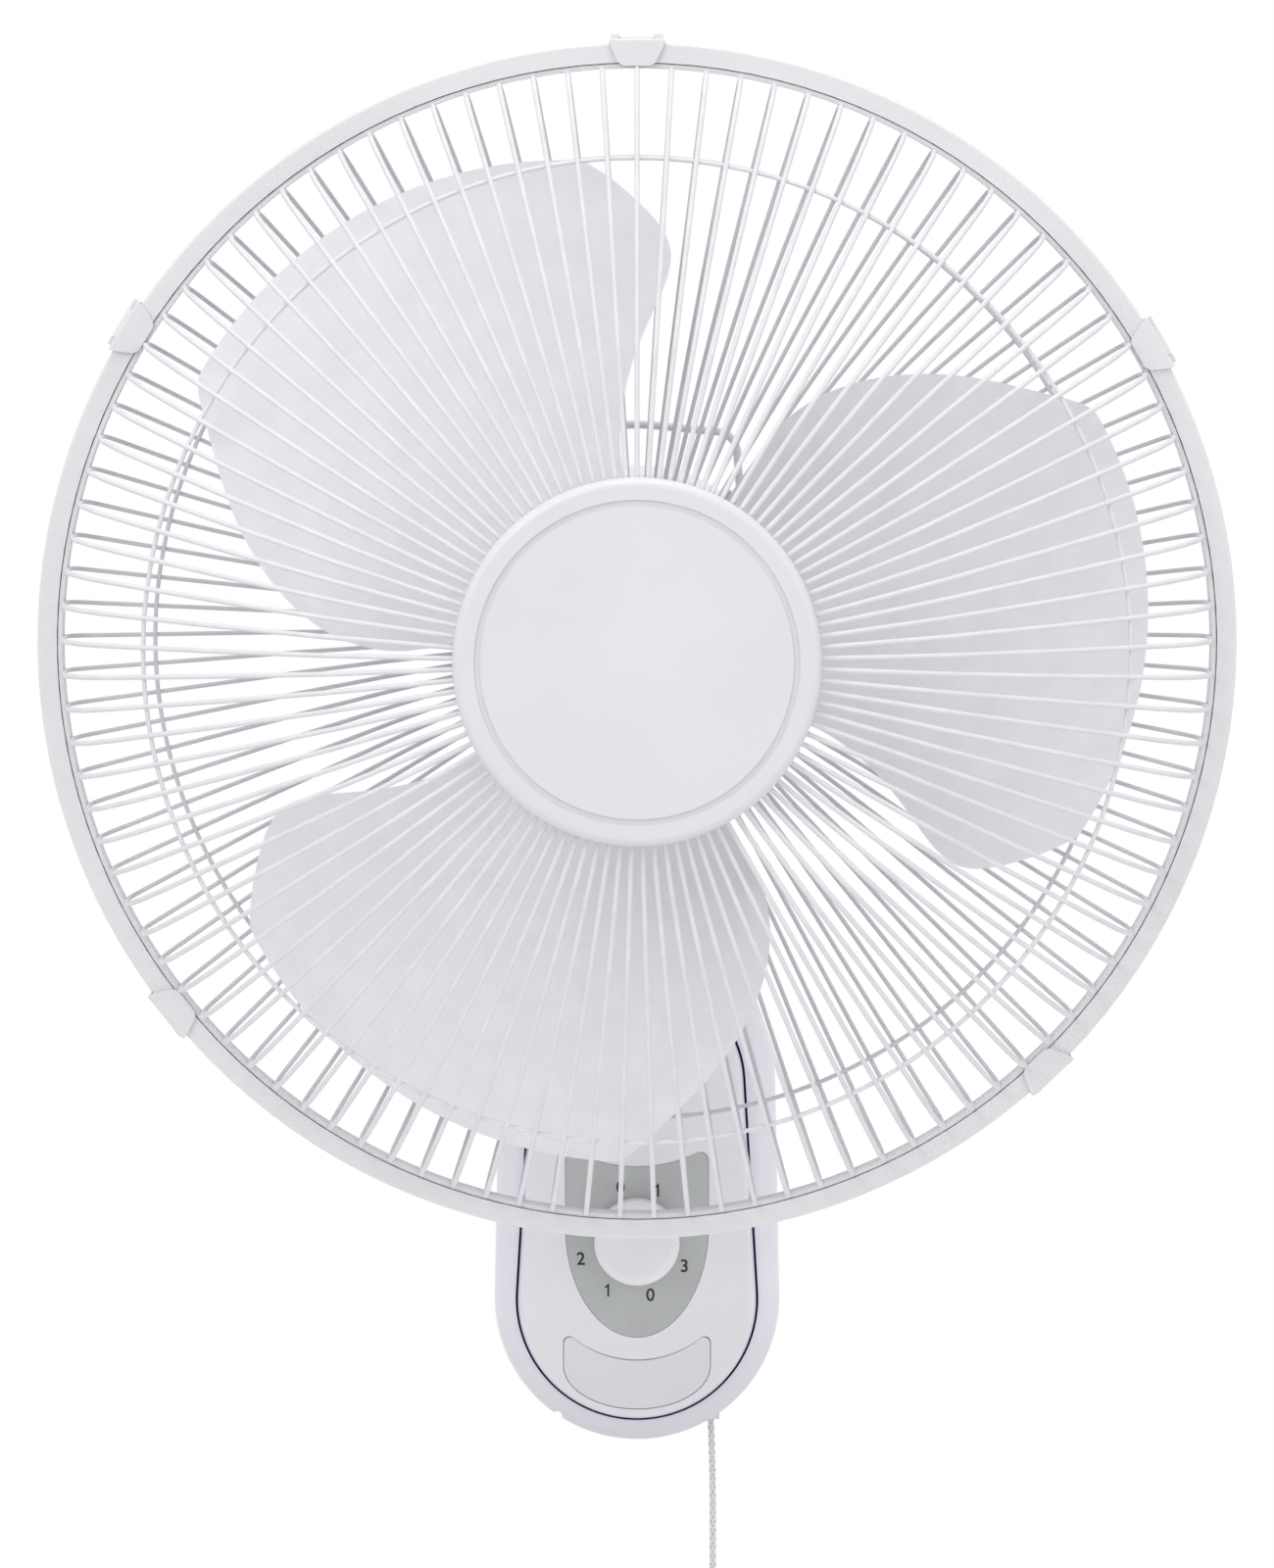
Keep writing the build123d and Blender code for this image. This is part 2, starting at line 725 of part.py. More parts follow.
with BuildPart() as motor_shaft:
    with Locations(in_head(0, 0, worm_front)):
        Cylinder(shaft_radius, shaft_front - worm_front, align=ON_BACK)
    with Locations(in_head(0, 0, worm_back)):
        Cylinder(worm_d / 2, worm_front - worm_back, align=ON_BACK)
    with BuildSketch(HEAD_SIDE):
        for groove in range(worm_grooves):
            middle = worm_back + (groove + 0.5) * groove_pitch
            with BuildLine():
                Polyline(
                    (middle - 1.2, worm_d / 2 + 0.1), (middle, worm_d / 2 - gear_groove),
                    (middle + 1.2, worm_d / 2 + 0.1), close=True,
                )
            make_face()
    revolve(axis=ROTOR_AXIS, mode=Mode.SUBTRACT)
    with Locations(in_head(0, 0, pin_ahead_of_hub)):
        Cylinder(
            drive_pin_d / 2 + pressed, 2 * shaft_d, rotation=(0, 90, 0), mode=Mode.SUBTRACT
        )
motor_shaft.part.label = "motor_shaft"
export_step(motor_shaft.part, "parts/motor_shaft.step")

with BuildPart() as drive_pin:
    with Locations(in_head(0, 0, pin_ahead_of_hub)):
        Cylinder(drive_pin_d / 2, drive_pin_length, rotation=(0, 90, 0))
drive_pin.part.label = "drive_pin"
export_step(drive_pin.part, "parts/drive_pin.step")

core_front = core_back + core_length
core_radius = stator_bore - air_gap

with BuildPart() as rotor_core:
    with BuildSketch(HEAD_SIDE):
        ring_profile(core_back, core_front, shaft_radius + pressed, core_radius)
        ring_profile(
            core_back - core_ring_length, core_front + core_ring_length,
            shaft_radius + pressed, core_ring_radius,
        )
    revolve(axis=ROTOR_AXIS)
rotor_core.part.label = "rotor_core"
export_step(rotor_core.part, "parts/rotor_core.step")

# ---------------------------------------------------------------------------------------
# Stator, its two brackets and bearings
# ---------------------------------------------------------------------------------------

winding_gap = 0.3
bolt_hole = motor_bolt_d / 2 + 0.2
front_bracket_face = core_front + bracket_depth + bracket_wall
rear_bracket_face = core_back - bracket_depth - bracket_wall
front_bearing_back = core_front + 7.5
rear_bearing_back = rear_bracket_face + 1

with BuildPart() as stator_core:
    with BuildSketch(HEAD_SIDE):
        ring_profile(core_back, core_front, stator_bore, stator_radius)
    revolve(axis=ROTOR_AXIS)
    with Locations(in_head(0, 0, core_back)):
        with PolarLocations(slot_circle, slot_count):
            Cylinder(slot_d / 2, core_length, align=ON_BACK, mode=Mode.SUBTRACT)
        with PolarLocations(motor_bolt_circle, 4, start_angle=motor_bolt_angles[0]):
            Cylinder(bolt_hole, core_length, align=ON_BACK, mode=Mode.SUBTRACT)
stator_core.part.label = "stator_core"
export_step(stator_core.part, "parts/stator_core.step")

with BuildPart() as stator_winding:
    with BuildSketch(HEAD_SIDE):
        ring_profile(
            core_front + winding_gap, core_front + winding_gap + winding_length,
            winding_in, winding_out,
        )
        ring_profile(
            core_back - winding_gap - winding_length, core_back - winding_gap,
            winding_in, winding_out,
        )
    revolve(axis=ROTOR_AXIS)
    with Locations(in_head(0, 0, core_back - 1)):
        with PolarLocations(slot_circle, slot_count):
            Cylinder(slot_d / 2 - winding_gap, core_length + 2, align=ON_BACK)
stator_winding.part.label = "stator_winding"
export_step(stator_winding.part, "parts/stator_winding.step")

with BuildPart() as front_bracket:
    with BuildSketch(HEAD_SIDE):
        ring_profile(
            front_bracket_face - bracket_wall, front_bracket_face,
            bearing_radius + pressed, stator_radius,
        )
        ring_profile(
            core_front, front_bracket_face, stator_radius - bracket_wall, stator_radius
        )
        ring_profile(
            front_bearing_back - 1, front_bearing_back + bearing_length + 1,
            bearing_radius + pressed, bracket_boss,
        )
    revolve(axis=ROTOR_AXIS)
    with Locations(in_head(0, 0, core_front)):
        with PolarLocations(motor_bolt_circle, 4, start_angle=motor_bolt_angles[0]):
            Cylinder(bolt_hole, 2 * bracket_depth, align=ON_BACK, mode=Mode.SUBTRACT)
        with PolarLocations(cover_post_circle, 3, start_angle=cover_post_angles[0]):
            Cylinder(
                screw_d / 2 + pressed, 2 * bracket_depth, align=ON_BACK, mode=Mode.SUBTRACT
            )
front_bracket.part.label = "front_bracket"
export_step(front_bracket.part, "parts/front_bracket.step")

with BuildPart() as rear_bracket:
    with BuildSketch(HEAD_SIDE):
        ring_profile(
            rear_bracket_face, rear_bracket_face + bracket_wall,
            bearing_radius + pressed, stator_radius,
        )
        ring_profile(
            rear_bracket_face, core_back, stator_radius - bracket_wall, stator_radius
        )
        ring_profile(
            rear_bracket_face, rear_bearing_back + bearing_length + 1,
            bearing_radius + pressed, bracket_boss,
        )
    revolve(axis=ROTOR_AXIS)
    with Locations(in_head(0, 0, rear_bracket_face)):
        with PolarLocations(motor_bolt_circle, 4, start_angle=motor_bolt_angles[0]):
            Cylinder(
                motor_bolt_d / 2 + pressed, 2 * bracket_depth, align=ON_BACK,
                mode=Mode.SUBTRACT,
            )
        with Locations(*gearbox_bolts):
            Cylinder(screw_d / 2 + slip, 2 * bracket_wall, mode=Mode.SUBTRACT)
rear_bracket.part.label = "rear_bracket"
export_step(rear_bracket.part, "parts/rear_bracket.step")

with BuildPart() as bearings:
    with BuildSketch(HEAD_SIDE):
        for back in (front_bearing_back, rear_bearing_back):
            ring_profile(back, back + bearing_length, shaft_radius + running, bearing_radius)
    revolve(axis=ROTOR_AXIS)
bearings.part.label = "bearings"
export_step(bearings.part, "parts/bearings.step")

with BuildPart() as motor_bolts:
    with Locations(in_head(0, 0, rear_bracket_face + 1)):
        with PolarLocations(motor_bolt_circle, 4, start_angle=motor_bolt_angles[0]):
            Cylinder(
                motor_bolt_d / 2, front_bracket_face - rear_bracket_face - 1, align=ON_BACK
            )
    with Locations(in_head(0, 0, front_bracket_face)):
        with PolarLocations(motor_bolt_circle, 4, start_angle=motor_bolt_angles[0]):
            Cylinder(motor_bolt_d * 0.85, motor_bolt_d * 0.7, align=ON_BACK)
motor_bolts.part.label = "motor_bolts"
export_step(motor_bolts.part, "parts/motor_bolts.step")

# ---------------------------------------------------------------------------------------
# Motor covers, the guard's nut and the carry handle
# ---------------------------------------------------------------------------------------

motor_face = rear_plate_back
cover_inside = cover_radius - cover_wall
handle_lug_inner = cover_radius - 2.5

with BuildPart() as motor_front_cover:
    with BuildSketch(HEAD_SIDE):
        ring_profile(cover_seam, motor_face, collar_bore, cover_radius)
        ring_profile(motor_face, rear_plate_face + guard_nut_length, collar_bore, collar_radius)
        ring_profile(
            cover_seam, motor_face - cover_face, collar_bore, cover_inside, mode=Mode.SUBTRACT
        )
    revolve(axis=ROTOR_AXIS)
    outer_edges = motor_front_cover.edges().filter_by(GeomType.CIRCLE).group_by(SortBy.RADIUS)[-1]
    fillet(outer_edges.sort_by(ROTOR_AXIS)[-1], 4)
    for angle in (handle_foot_angle, 180 - handle_foot_angle):
        with Locations(HEAD.location * Rot(0, 0, angle)):
            with Locations(((handle_lug_inner + handle_foot_radius) / 2, 0, handle_pad_forward)):
                Box(
                    handle_foot_radius - handle_lug_inner, handle_pad[0] + 1,
                    handle_pad[1] + 1,
                )
            with Locations((handle_foot_radius, 0, handle_screw_forward)):
                Cylinder(
                    screw_d / 2 + pressed, 2 * screw_length, rotation=(0, 90, 0),
                    mode=Mode.SUBTRACT,
                )
    with Locations(in_head(0, 0, front_bracket_face)):
        with PolarLocations(cover_post_circle, 3, start_angle=cover_post_angles[0]):
            Cylinder(post_radius, motor_face - cover_face - front_bracket_face, align=ON_BACK)
            Cylinder(
                screw_d / 2 + slip, 2 * bracket_depth, align=ON_BACK, mode=Mode.SUBTRACT
            )
    with Locations(in_head(0, 0, motor_face)):
        with PolarLocations(cover_post_circle, 3, start_angle=cover_post_angles[0]):
            Cylinder(
                screw_head_radius + slip, 2 * screw_head_height + slip, mode=Mode.SUBTRACT
            )
    for angle in cover_vent_angles:
        with Locations(HEAD.location * Rot(0, 0, angle) * Pos(cover_radius, 0, 44)):
            Box(4 * cover_wall, cover_vent[1], cover_vent[0], mode=Mode.SUBTRACT)
motor_front_cover.part.label = "motor_front_cover"
export_step(motor_front_cover.part, "parts/motor_front_cover.step")

opening_half, opening_back, opening_front, opening_top = cover_opening

with BuildPart() as motor_rear_cover:
    with Locations(in_head(0, 0, cover_back)):
        Cylinder(cover_radius, cover_seam - cover_back, align=ON_BACK)
    fillet(motor_rear_cover.faces().sort_by(ROTOR_AXIS)[0].edges(), cover_round)
    offset(
        amount=-cover_wall, openings=motor_rear_cover.faces().sort_by(ROTOR_AXIS)[-1],
        kind=Kind.INTERSECTION,
    )
    with BuildSketch(level(opening_top)):
        box_profile(-opening_half, opening_half, opening_back, opening_front)
        fillet(vertices(), 6)
    extrude(amount=cover_radius, mode=Mode.SUBTRACT)
    with Locations(hung(clutch_at, cover_radius + 1)):
        Cylinder(rod_d / 2 + 1, cover_radius, align=ON_BACK, mode=Mode.SUBTRACT)
    with Locations(in_head(0, 0, cover_back)):
        with PolarLocations(back_vent_circle - 3, back_vents):
            Box(back_vent[0], back_vent[1], 4 * cover_wall, mode=Mode.SUBTRACT)
    with Locations(in_head(0, rear_screw_up, cover_back)):
        Cylinder(screw_d / 2 + slip, 4 * cover_wall, mode=Mode.SUBTRACT)
motor_rear_cover.part.label = "motor_rear_cover"
export_step(motor_rear_cover.part, "parts/motor_rear_cover.step")

with BuildPart() as guard_nut:
    with BuildSketch(HEAD_SIDE):
        ring_profile(
            rear_plate_face, rear_plate_face + guard_nut_length,
            collar_radius + running, guard_nut_radius,
        )
    revolve(axis=ROTOR_AXIS)
    with Locations(in_head(0, 0, rear_plate_face)):
        with PolarLocations(guard_nut_radius, guard_nut_flutes):
            Cylinder(1.6, guard_nut_length, align=ON_BACK, mode=Mode.SUBTRACT)
guard_nut.part.label = "guard_nut"
export_step(guard_nut.part, "parts/guard_nut.step")

with BuildPart() as carry_handle:
    (foot_x, foot_up), (bend_x, bend_up), (top_x, top_up) = handle_line
    with BuildLine(HEAD.offset(handle_forward)) as bar_line:
        FilletPolyline(
            (foot_x, foot_up), (bend_x, bend_up), (top_x, top_up), (-bend_x, bend_up),
            (-foot_x, foot_up), radius=[handle_bends[0], handle_bends[1], handle_bends[0]],
        )
    with BuildSketch(Plane(origin=bar_line.line @ 0, z_dir=bar_line.line % 0)):
        Circle(handle_d / 2)
    sweep(path=bar_line.line)
    for angle in (handle_foot_angle, 180 - handle_foot_angle):
        with Locations(HEAD.location * Rot(0, 0, angle)):
            with Locations((handle_foot_radius + handle_pad[2] / 2, 0, handle_pad_forward)):
                Box(handle_pad[2], handle_pad[0], handle_pad[1])
            with Locations((handle_foot_radius, 0, handle_screw_forward)):
                Cylinder(
                    screw_d / 2 + slip, 3 * handle_pad[2], rotation=(0, 90, 0),
                    mode=Mode.SUBTRACT,
                )
carry_handle.part.label = "carry_handle"
export_step(carry_handle.part, "parts/carry_handle.step")

# ---------------------------------------------------------------------------------------
# Gearbox and the oscillation drive
# ---------------------------------------------------------------------------------------

gearbox_inside = (
    gearbox_left + gearbox_wall, gearbox_right - gearbox_wall,
    gearbox_back + gearbox_wall, gearbox_front - gearbox_wall,
)
lid_posts = [
    (x, ahead)
    for x in (gearbox_inside[0] + 2, gearbox_inside[1] - 2)
    for ahead in (gearbox_inside[2] + 2, gearbox_inside[3] - 2)
]
clutch_radius = clutch_d / 2
crank_radius = crank_shaft_d / 2
pivot_radius = pivot_d / 2
rod_radius = rod_d / 2
floor_face = gearbox_floor + gearbox_wall
crank_gear_radius = (
    hypot(clutch_at[0] - crank_at[0], clutch_at[1] - crank_at[1]) - pinion_radius - gear_gap
)
crank_pin_at = (
    crank_at[0] + crank_throw * cos(radians(crank_start)),
    crank_at[1] + crank_throw * sin(radians(crank_start)),
)

with BuildPart() as gearbox_case:
    with BuildSketch(level(gearbox_top)):
        box_profile(gearbox_left, gearbox_right, gearbox_back, gearbox_front)
        fillet(vertices(), 3)
    extrude(amount=gearbox_top - gearbox_floor)
    with BuildSketch(level(gearbox_top)):
        box_profile(*gearbox_inside)
    extrude(amount=gearbox_top - floor_face, mode=Mode.SUBTRACT)
    for post in lid_posts:
        with Locations(hung(post, gearbox_top)):
            Cylinder(gearbox_post, screw_length + 2, align=ON_BACK)
            Cylinder(screw_d / 2 + pressed, screw_length, align=ON_BACK, mode=Mode.SUBTRACT)
    for bolt in gearbox_bolts:
        with Locations(in_head(bolt[0], bolt[1], gearbox_front - gearbox_wall)):
            Cylinder(gearbox_post, screw_length - 2, align=ON_FRONT)
        with Locations(in_head(bolt[0], bolt[1], gearbox_front)):
            Cylinder(screw_d / 2 + pressed, 2 * screw_length, mode=Mode.SUBTRACT)
    with BuildSketch(level(clutch_shelf)):
        box_profile(gearbox_inside[0] - 1, clutch_at[0] + 6, clutch_at[1] - 6, clutch_at[1] + 6)
    extrude(amount=gearbox_wall)
    with Locations(hung(clutch_at, gear_bottom - 0.1)):
        Cylinder(crank_boss, gear_bottom - 0.1 - floor_face, align=ON_BACK)
    with Locations(hung(clutch_at, clutch_shelf + 1)):
        Cylinder(
            clutch_radius + running, clutch_shelf + 1 - floor_face, align=ON_BACK,
            mode=Mode.SUBTRACT,
        )
    with Locations(hung(crank_at, gear_bottom - 0.1)):
        Cylinder(crank_boss, gear_bottom - crank_top - 0.2, align=ON_BACK)
        Cylinder(
            crank_radius + running, gear_bottom - crank_top, align=ON_BACK, mode=Mode.SUBTRACT
        )
    with Locations(hung((0, 0), gearbox_floor)):
        Cylinder(pivot_boss, gearbox_floor - pivot_boss_bottom, align=ON_BACK)
    with Locations(hung((0, 0), floor_face)):
        Cylinder(
            pivot_radius + pressed, floor_face - pivot_boss_bottom, align=ON_BACK,
            mode=Mode.SUBTRACT,
        )
    with Locations(in_head(0, 0, gearbox_front)):
        Cylinder(shaft_radius + 1, 3 * gearbox_wall, mode=Mode.SUBTRACT)
    with Locations(in_head(0, rear_screw_up, cover_back + cover_wall)):
        Cylinder(gearbox_post, gearbox_back - cover_back - cover_wall, align=ON_BACK)
        Cylinder(
            screw_d / 2 + pressed, 2 * screw_length + 2, mode=Mode.SUBTRACT
        )
gearbox_case.part.label = "gearbox_case"
export_step(gearbox_case.part, "parts/gearbox_case.step")

with BuildPart() as gearbox_cover:
    with BuildSketch(level(gearbox_top + gearbox_lid)):
        box_profile(gearbox_left, gearbox_right, gearbox_back, gearbox_front)
        fillet(vertices(), 3)
    extrude(amount=gearbox_lid)
    with Locations(hung(clutch_at, gearbox_top + gearbox_lid + 3)):
        Cylinder(rod_dog_radius, 4, align=ON_BACK)
        Cylinder(rod_radius + running, 4 * gearbox_lid, align=ON_BACK, mode=Mode.SUBTRACT)
    for post in lid_posts:
        with Locations(hung(post, gearbox_top + 2 * gearbox_lid)):
            Cylinder(screw_d / 2 + slip, 3 * gearbox_lid, align=ON_BACK, mode=Mode.SUBTRACT)
gearbox_cover.part.label = "gearbox_cover"
export_step(gearbox_cover.part, "parts/gearbox_cover.step")

with BuildPart() as worm_wheel:
    with Locations(hung(clutch_at, wheel_thick / 2)):
        Cylinder(wheel_radius, wheel_thick, align=ON_BACK)
        with PolarLocations(wheel_radius, wheel_teeth):
            Box(2 * gear_groove, 1.0, wheel_thick, align=ON_BACK, mode=Mode.SUBTRACT)
        Cylinder(clutch_radius + running, wheel_thick, align=ON_BACK, mode=Mode.SUBTRACT)
worm_wheel.part.label = "worm_wheel"
export_step(worm_wheel.part, "parts/worm_wheel.step")

with BuildPart() as clutch_shaft:
    with Locations(hung(clutch_at, clutch_top)):
        Cylinder(clutch_radius, clutch_top - floor_face - 0.1, align=ON_BACK)
    with Locations(hung(clutch_at, -wheel_thick / 2 - 0.1)):
        Cylinder(clutch_collar, 1.8, align=ON_BACK)
    with Locations(hung(clutch_at, gear_bottom + gear_thick)):
        Cylinder(pinion_radius, gear_thick, align=ON_BACK)
        with PolarLocations(pinion_radius, pinion_teeth):
            Box(2 * gear_groove, 1.1, gear_thick, align=ON_BACK, mode=Mode.SUBTRACT)
clutch_shaft.part.label = "clutch_shaft"
export_step(clutch_shaft.part, "parts/clutch_shaft.step")

with BuildPart() as crank_gear:
    with Locations(hung(crank_at, gear_bottom + gear_thick)):
        Cylinder(crank_gear_radius, gear_thick, align=ON_BACK)
        with PolarLocations(crank_gear_radius, crank_teeth):
            Box(2 * gear_groove, 1.1, gear_thick, align=ON_BACK, mode=Mode.SUBTRACT)
        Cylinder(
            crank_radius, gear_bottom + gear_thick - crank_top + crank_thick, align=ON_BACK
        )
    with BuildSketch(level(crank_top)):
        with Locations(crank_at, crank_pin_at):
            Circle(link_end_radius)
        with Locations(
            Pos((crank_at[0] + crank_pin_at[0]) / 2, (crank_at[1] + crank_pin_at[1]) / 2)
            * Rot(0, 0, crank_start)
        ):
            Rectangle(crank_throw, 2 * link_end_radius)
    extrude(amount=crank_thick)
    with Locations(hung(crank_pin_at, crank_top - crank_thick)):
        Cylinder(
            link_pin_d / 2, crank_top - crank_thick - link_top + link_thick + 1, align=ON_BACK
        )
crank_gear.part.label = "crank_gear"
export_step(crank_gear.part, "parts/crank_gear.step")

link_run = (link_anchor_at[0] - crank_pin_at[0], link_anchor_at[1] - crank_pin_at[1])
link_length = hypot(*link_run)

with BuildPart() as link_rod:
    with BuildSketch(level(link_top)):
        with Locations(crank_pin_at, link_anchor_at):
            Circle(link_end_radius)
        with Locations(
            Pos(
                (crank_pin_at[0] + link_anchor_at[0]) / 2,
                (crank_pin_at[1] + link_anchor_at[1]) / 2,
            ) * Rot(0, 0, degrees(atan2(link_run[1], link_run[0])))
        ):
            Rectangle(link_length, link_width)
        with Locations(crank_pin_at):
            Circle(link_pin_d / 2 + running, mode=Mode.SUBTRACT)
        with Locations(link_anchor_at):
            Circle(link_slack_radius, mode=Mode.SUBTRACT)
    extrude(amount=link_thick)
link_rod.part.label = "link_rod"
export_step(link_rod.part, "parts/link_rod.step")

with BuildPart() as osc_knob:
    with Locations(hung(clutch_at, rod_top)):
        Cylinder(rod_radius, rod_top - rod_bottom, align=ON_BACK)
    with Locations(hung(clutch_at, rod_bottom + rod_dog)):
        Cylinder(rod_dog_radius, rod_dog, align=ON_BACK)
    with Locations(hung(clutch_at, osc_knob_bottom + osc_knob_height)):
        Cylinder(osc_knob_radius, osc_knob_height, align=ON_BACK)
    fillet(osc_knob.faces().sort_by(Axis(head_point, upward))[-1].edges(), 2)
osc_knob.part.label = "osc_knob"
export_step(osc_knob.part, "parts/osc_knob.step")

groove_up, groove_wide, groove_left = pivot_groove

with BuildPart() as pan_pivot:
    with Locations(hung((0, 0), floor_face + pivot_head_height)):
        Cylinder(pivot_head, pivot_head_height, align=ON_BACK)
        Cylinder(pivot_radius, floor_face + pivot_head_height - pivot_bottom, align=ON_BACK)
    with Locations(hung((0, 0), groove_up + groove_wide / 2)):
        Cylinder(pivot_radius + 1, groove_wide, align=ON_BACK, mode=Mode.SUBTRACT)
        Cylinder(groove_left, groove_wide, align=ON_BACK)
pan_pivot.part.label = "pan_pivot"
export_step(pan_pivot.part, "parts/pan_pivot.step")

# one screw on the bench: head towards -Z, shank towards +Z from the origin
with BuildPart() as bench_screw:
    Cylinder(screw_head_radius, screw_head_height, align=ON_FRONT)
    Cylinder(screw_d / 2, screw_length, align=ON_BACK)
    with Locations((0, 0, -screw_head_height)):
        Box(2 * screw_head_radius * 0.7, 0.7, 0.9, mode=Mode.SUBTRACT)
        Box(0.7, 2 * screw_head_radius * 0.7, 0.9, mode=Mode.SUBTRACT)

with BuildPart() as head_screws:
    for angle in cap_screw_angles:
        with Locations(
            HEAD.location * Rot(0, 0, angle)
            * Pos(cap_post_radius, 0, front_plate_face - front_plate_thick)
        ):
            add(bench_screw.part)
    for angle in cover_post_angles:
        with Locations(
            HEAD.location * Rot(0, 0, angle)
            * Pos(cover_post_circle, 0, motor_face - screw_head_height) * Rot(180, 0, 0)
        ):
            add(bench_screw.part)
    for angle in (handle_foot_angle, 180 - handle_foot_angle):
        with Locations(
            HEAD.location * Rot(0, 0, angle)
            * Pos(handle_foot_radius + handle_pad[2], 0, handle_screw_forward) * Rot(0, -90, 0)
        ):
            add(bench_screw.part)
    for bolt in gearbox_bolts:
        with Locations(
            in_head(bolt[0], bolt[1], gearbox_front + bracket_wall) * Rot(180, 0, 0)
        ):
            add(bench_screw.part)
    for post in lid_posts:
        with Locations(hung(post, gearbox_top + gearbox_lid)):
            add(bench_screw.part)
    with Locations(in_head(0, rear_screw_up, cover_back)):
        add(bench_screw.part)
head_screws.part.label = "head_screws"
export_step(head_screws.part, "parts/head_screws.step")

# ---------------------------------------------------------------------------------------
# Tilt yoke, its bolt and the neck
# ---------------------------------------------------------------------------------------

yoke_bottom = yoke_top - yoke_height
pivot_bore = pivot_radius + running
ear_inner = tongue_width / 2 + ear_gap
neck_half = neck_width / 2
knob_inner = -neck_half

with BuildPart() as tilt_yoke:
    with BuildSketch(level(yoke_top)):
        Rectangle(yoke_width, yoke_depth)
        fillet(vertices(), 4)
    extrude(amount=yoke_height)
    with BuildSketch(HEAD_SIDE.offset(-tongue_width / 2)):
        with Locations((0, -rotor_above_tilt)):
            Circle(tongue_radius)
        box_profile(-web_half, web_half, -rotor_above_tilt, yoke_bottom)
    extrude(amount=tongue_width)
    with Locations(hung((0, 0), yoke_top)):
        Cylinder(pivot_bore, yoke_top - pivot_bottom + 1, align=ON_BACK, mode=Mode.SUBTRACT)
    with Locations(in_head(0, -rotor_above_tilt, 0)):
        Cylinder(
            tilt_bolt_d / 2 + running, 2 * yoke_width, rotation=(0, 90, 0), mode=Mode.SUBTRACT
        )
    with Locations(in_head(0, groove_up, -yoke_depth / 2)):
        Cylinder(lock_d / 2 + pressed, yoke_depth / 2, align=ON_BACK, mode=Mode.SUBTRACT)
    with Locations(hung(link_anchor_at, link_pin_top)):
        Cylinder(link_pin_d / 2, link_pin_top - yoke_top + 1, align=ON_BACK)
tilt_yoke.part.label = "tilt_yoke"
export_step(tilt_yoke.part, "parts/tilt_yoke.step")

with BuildPart() as pan_lock_screw:
    with Locations(in_head(0, groove_up, -yoke_depth / 2)):
        Cylinder(lock_d / 2, yoke_depth / 2 - pivot_bore - 0.5, align=ON_BACK)
        Cylinder(lock_tip, yoke_depth / 2 - groove_left - 0.2, align=ON_BACK)
        Box(0.8, 3, 2, mode=Mode.SUBTRACT)
pan_lock_screw.part.label = "pan_lock_screw"
export_step(pan_lock_screw.part, "parts/pan_lock_screw.step")

with BuildPart() as tilt_washers:
    with BuildSketch(SIDE.offset(-ear_inner), SIDE.offset(tongue_width / 2)):
        with Locations((tilt_axis_out, tilt_axis_up)):
            Circle(washer_radius)
            Circle(tilt_bolt_d / 2 + running, mode=Mode.SUBTRACT)
    extrude(amount=ear_gap)
tilt_washers.part.label = "tilt_washers"
export_step(tilt_washers.part, "parts/tilt_washers.step")

with BuildPart() as thrust_washer:
    with Locations(hung((0, 0), yoke_top + thrust_thick)):
        Cylinder(thrust_radius, thrust_thick, align=ON_BACK)
        Cylinder(pivot_bore, thrust_thick, align=ON_BACK, mode=Mode.SUBTRACT)
thrust_washer.part.label = "thrust_washer"
export_step(thrust_washer.part, "parts/thrust_washer.step")

plate_side, plate_low, plate_high, plate_deep = neck_plate
back_face = recess_depth + base_wall

with BuildPart() as neck_arm:
    with BuildSketch(SIDE.offset(-neck_half)):
        with BuildLine():
            Polyline(
                (back_face, plate_low), (46, plate_low), (52, 62), (52, 76), (100, 87.5),
                (100, 116), (40, 106), (16, 78), (16, 60), (back_face, 60), close=True,
            )
        make_face()
        with Locations((tilt_axis_out, tilt_axis_up)):
            Circle(ear_radius)
    extrude(amount=neck_width)
    with BuildSketch(FRONT.offset(back_face)):
        box_profile(-plate_side, plate_side, plate_low, plate_high)
        fillet(vertices(), 3)
    extrude(amount=plate_deep)
    with BuildSketch(SIDE.offset(-ear_inner)):
        with Locations((tilt_axis_out, tilt_axis_up)):
            Circle(ear_slot_radius)
    extrude(amount=2 * ear_inner, mode=Mode.SUBTRACT)
    with BuildSketch(FRONT.offset(back_face)):
        with Locations(*neck_screws):
            Circle(screw_d / 2 + slip)
    extrude(amount=plate_deep, mode=Mode.SUBTRACT)
    with BuildSketch(FRONT.offset(back_face + plate_deep)):
        with Locations(*neck_screws):
            Circle(screw_head_radius + slip)
    extrude(amount=cover_radius, mode=Mode.SUBTRACT)
    with Locations((0, -tilt_axis_out, tilt_axis_up)):
        Cylinder(
            tilt_bolt_d / 2 + running, 2 * yoke_width, rotation=(0, 90, 0), mode=Mode.SUBTRACT
        )
neck_arm.part.label = "neck_arm"
export_step(neck_arm.part, "parts/neck_arm.step")

with BuildPart() as tilt_bolt:
    with Locations((neck_half, -tilt_axis_out, tilt_axis_up)):
        with Locations(Rot(0, 90, 0)):
            Cylinder(bolt_head_radius, bolt_head_height, align=ON_BACK)
            Cylinder(tilt_bolt_d / 2, neck_width + tilt_knob_height - 2, align=ON_FRONT)
tilt_bolt.part.label = "tilt_bolt"
export_step(tilt_bolt.part, "parts/tilt_bolt.step")

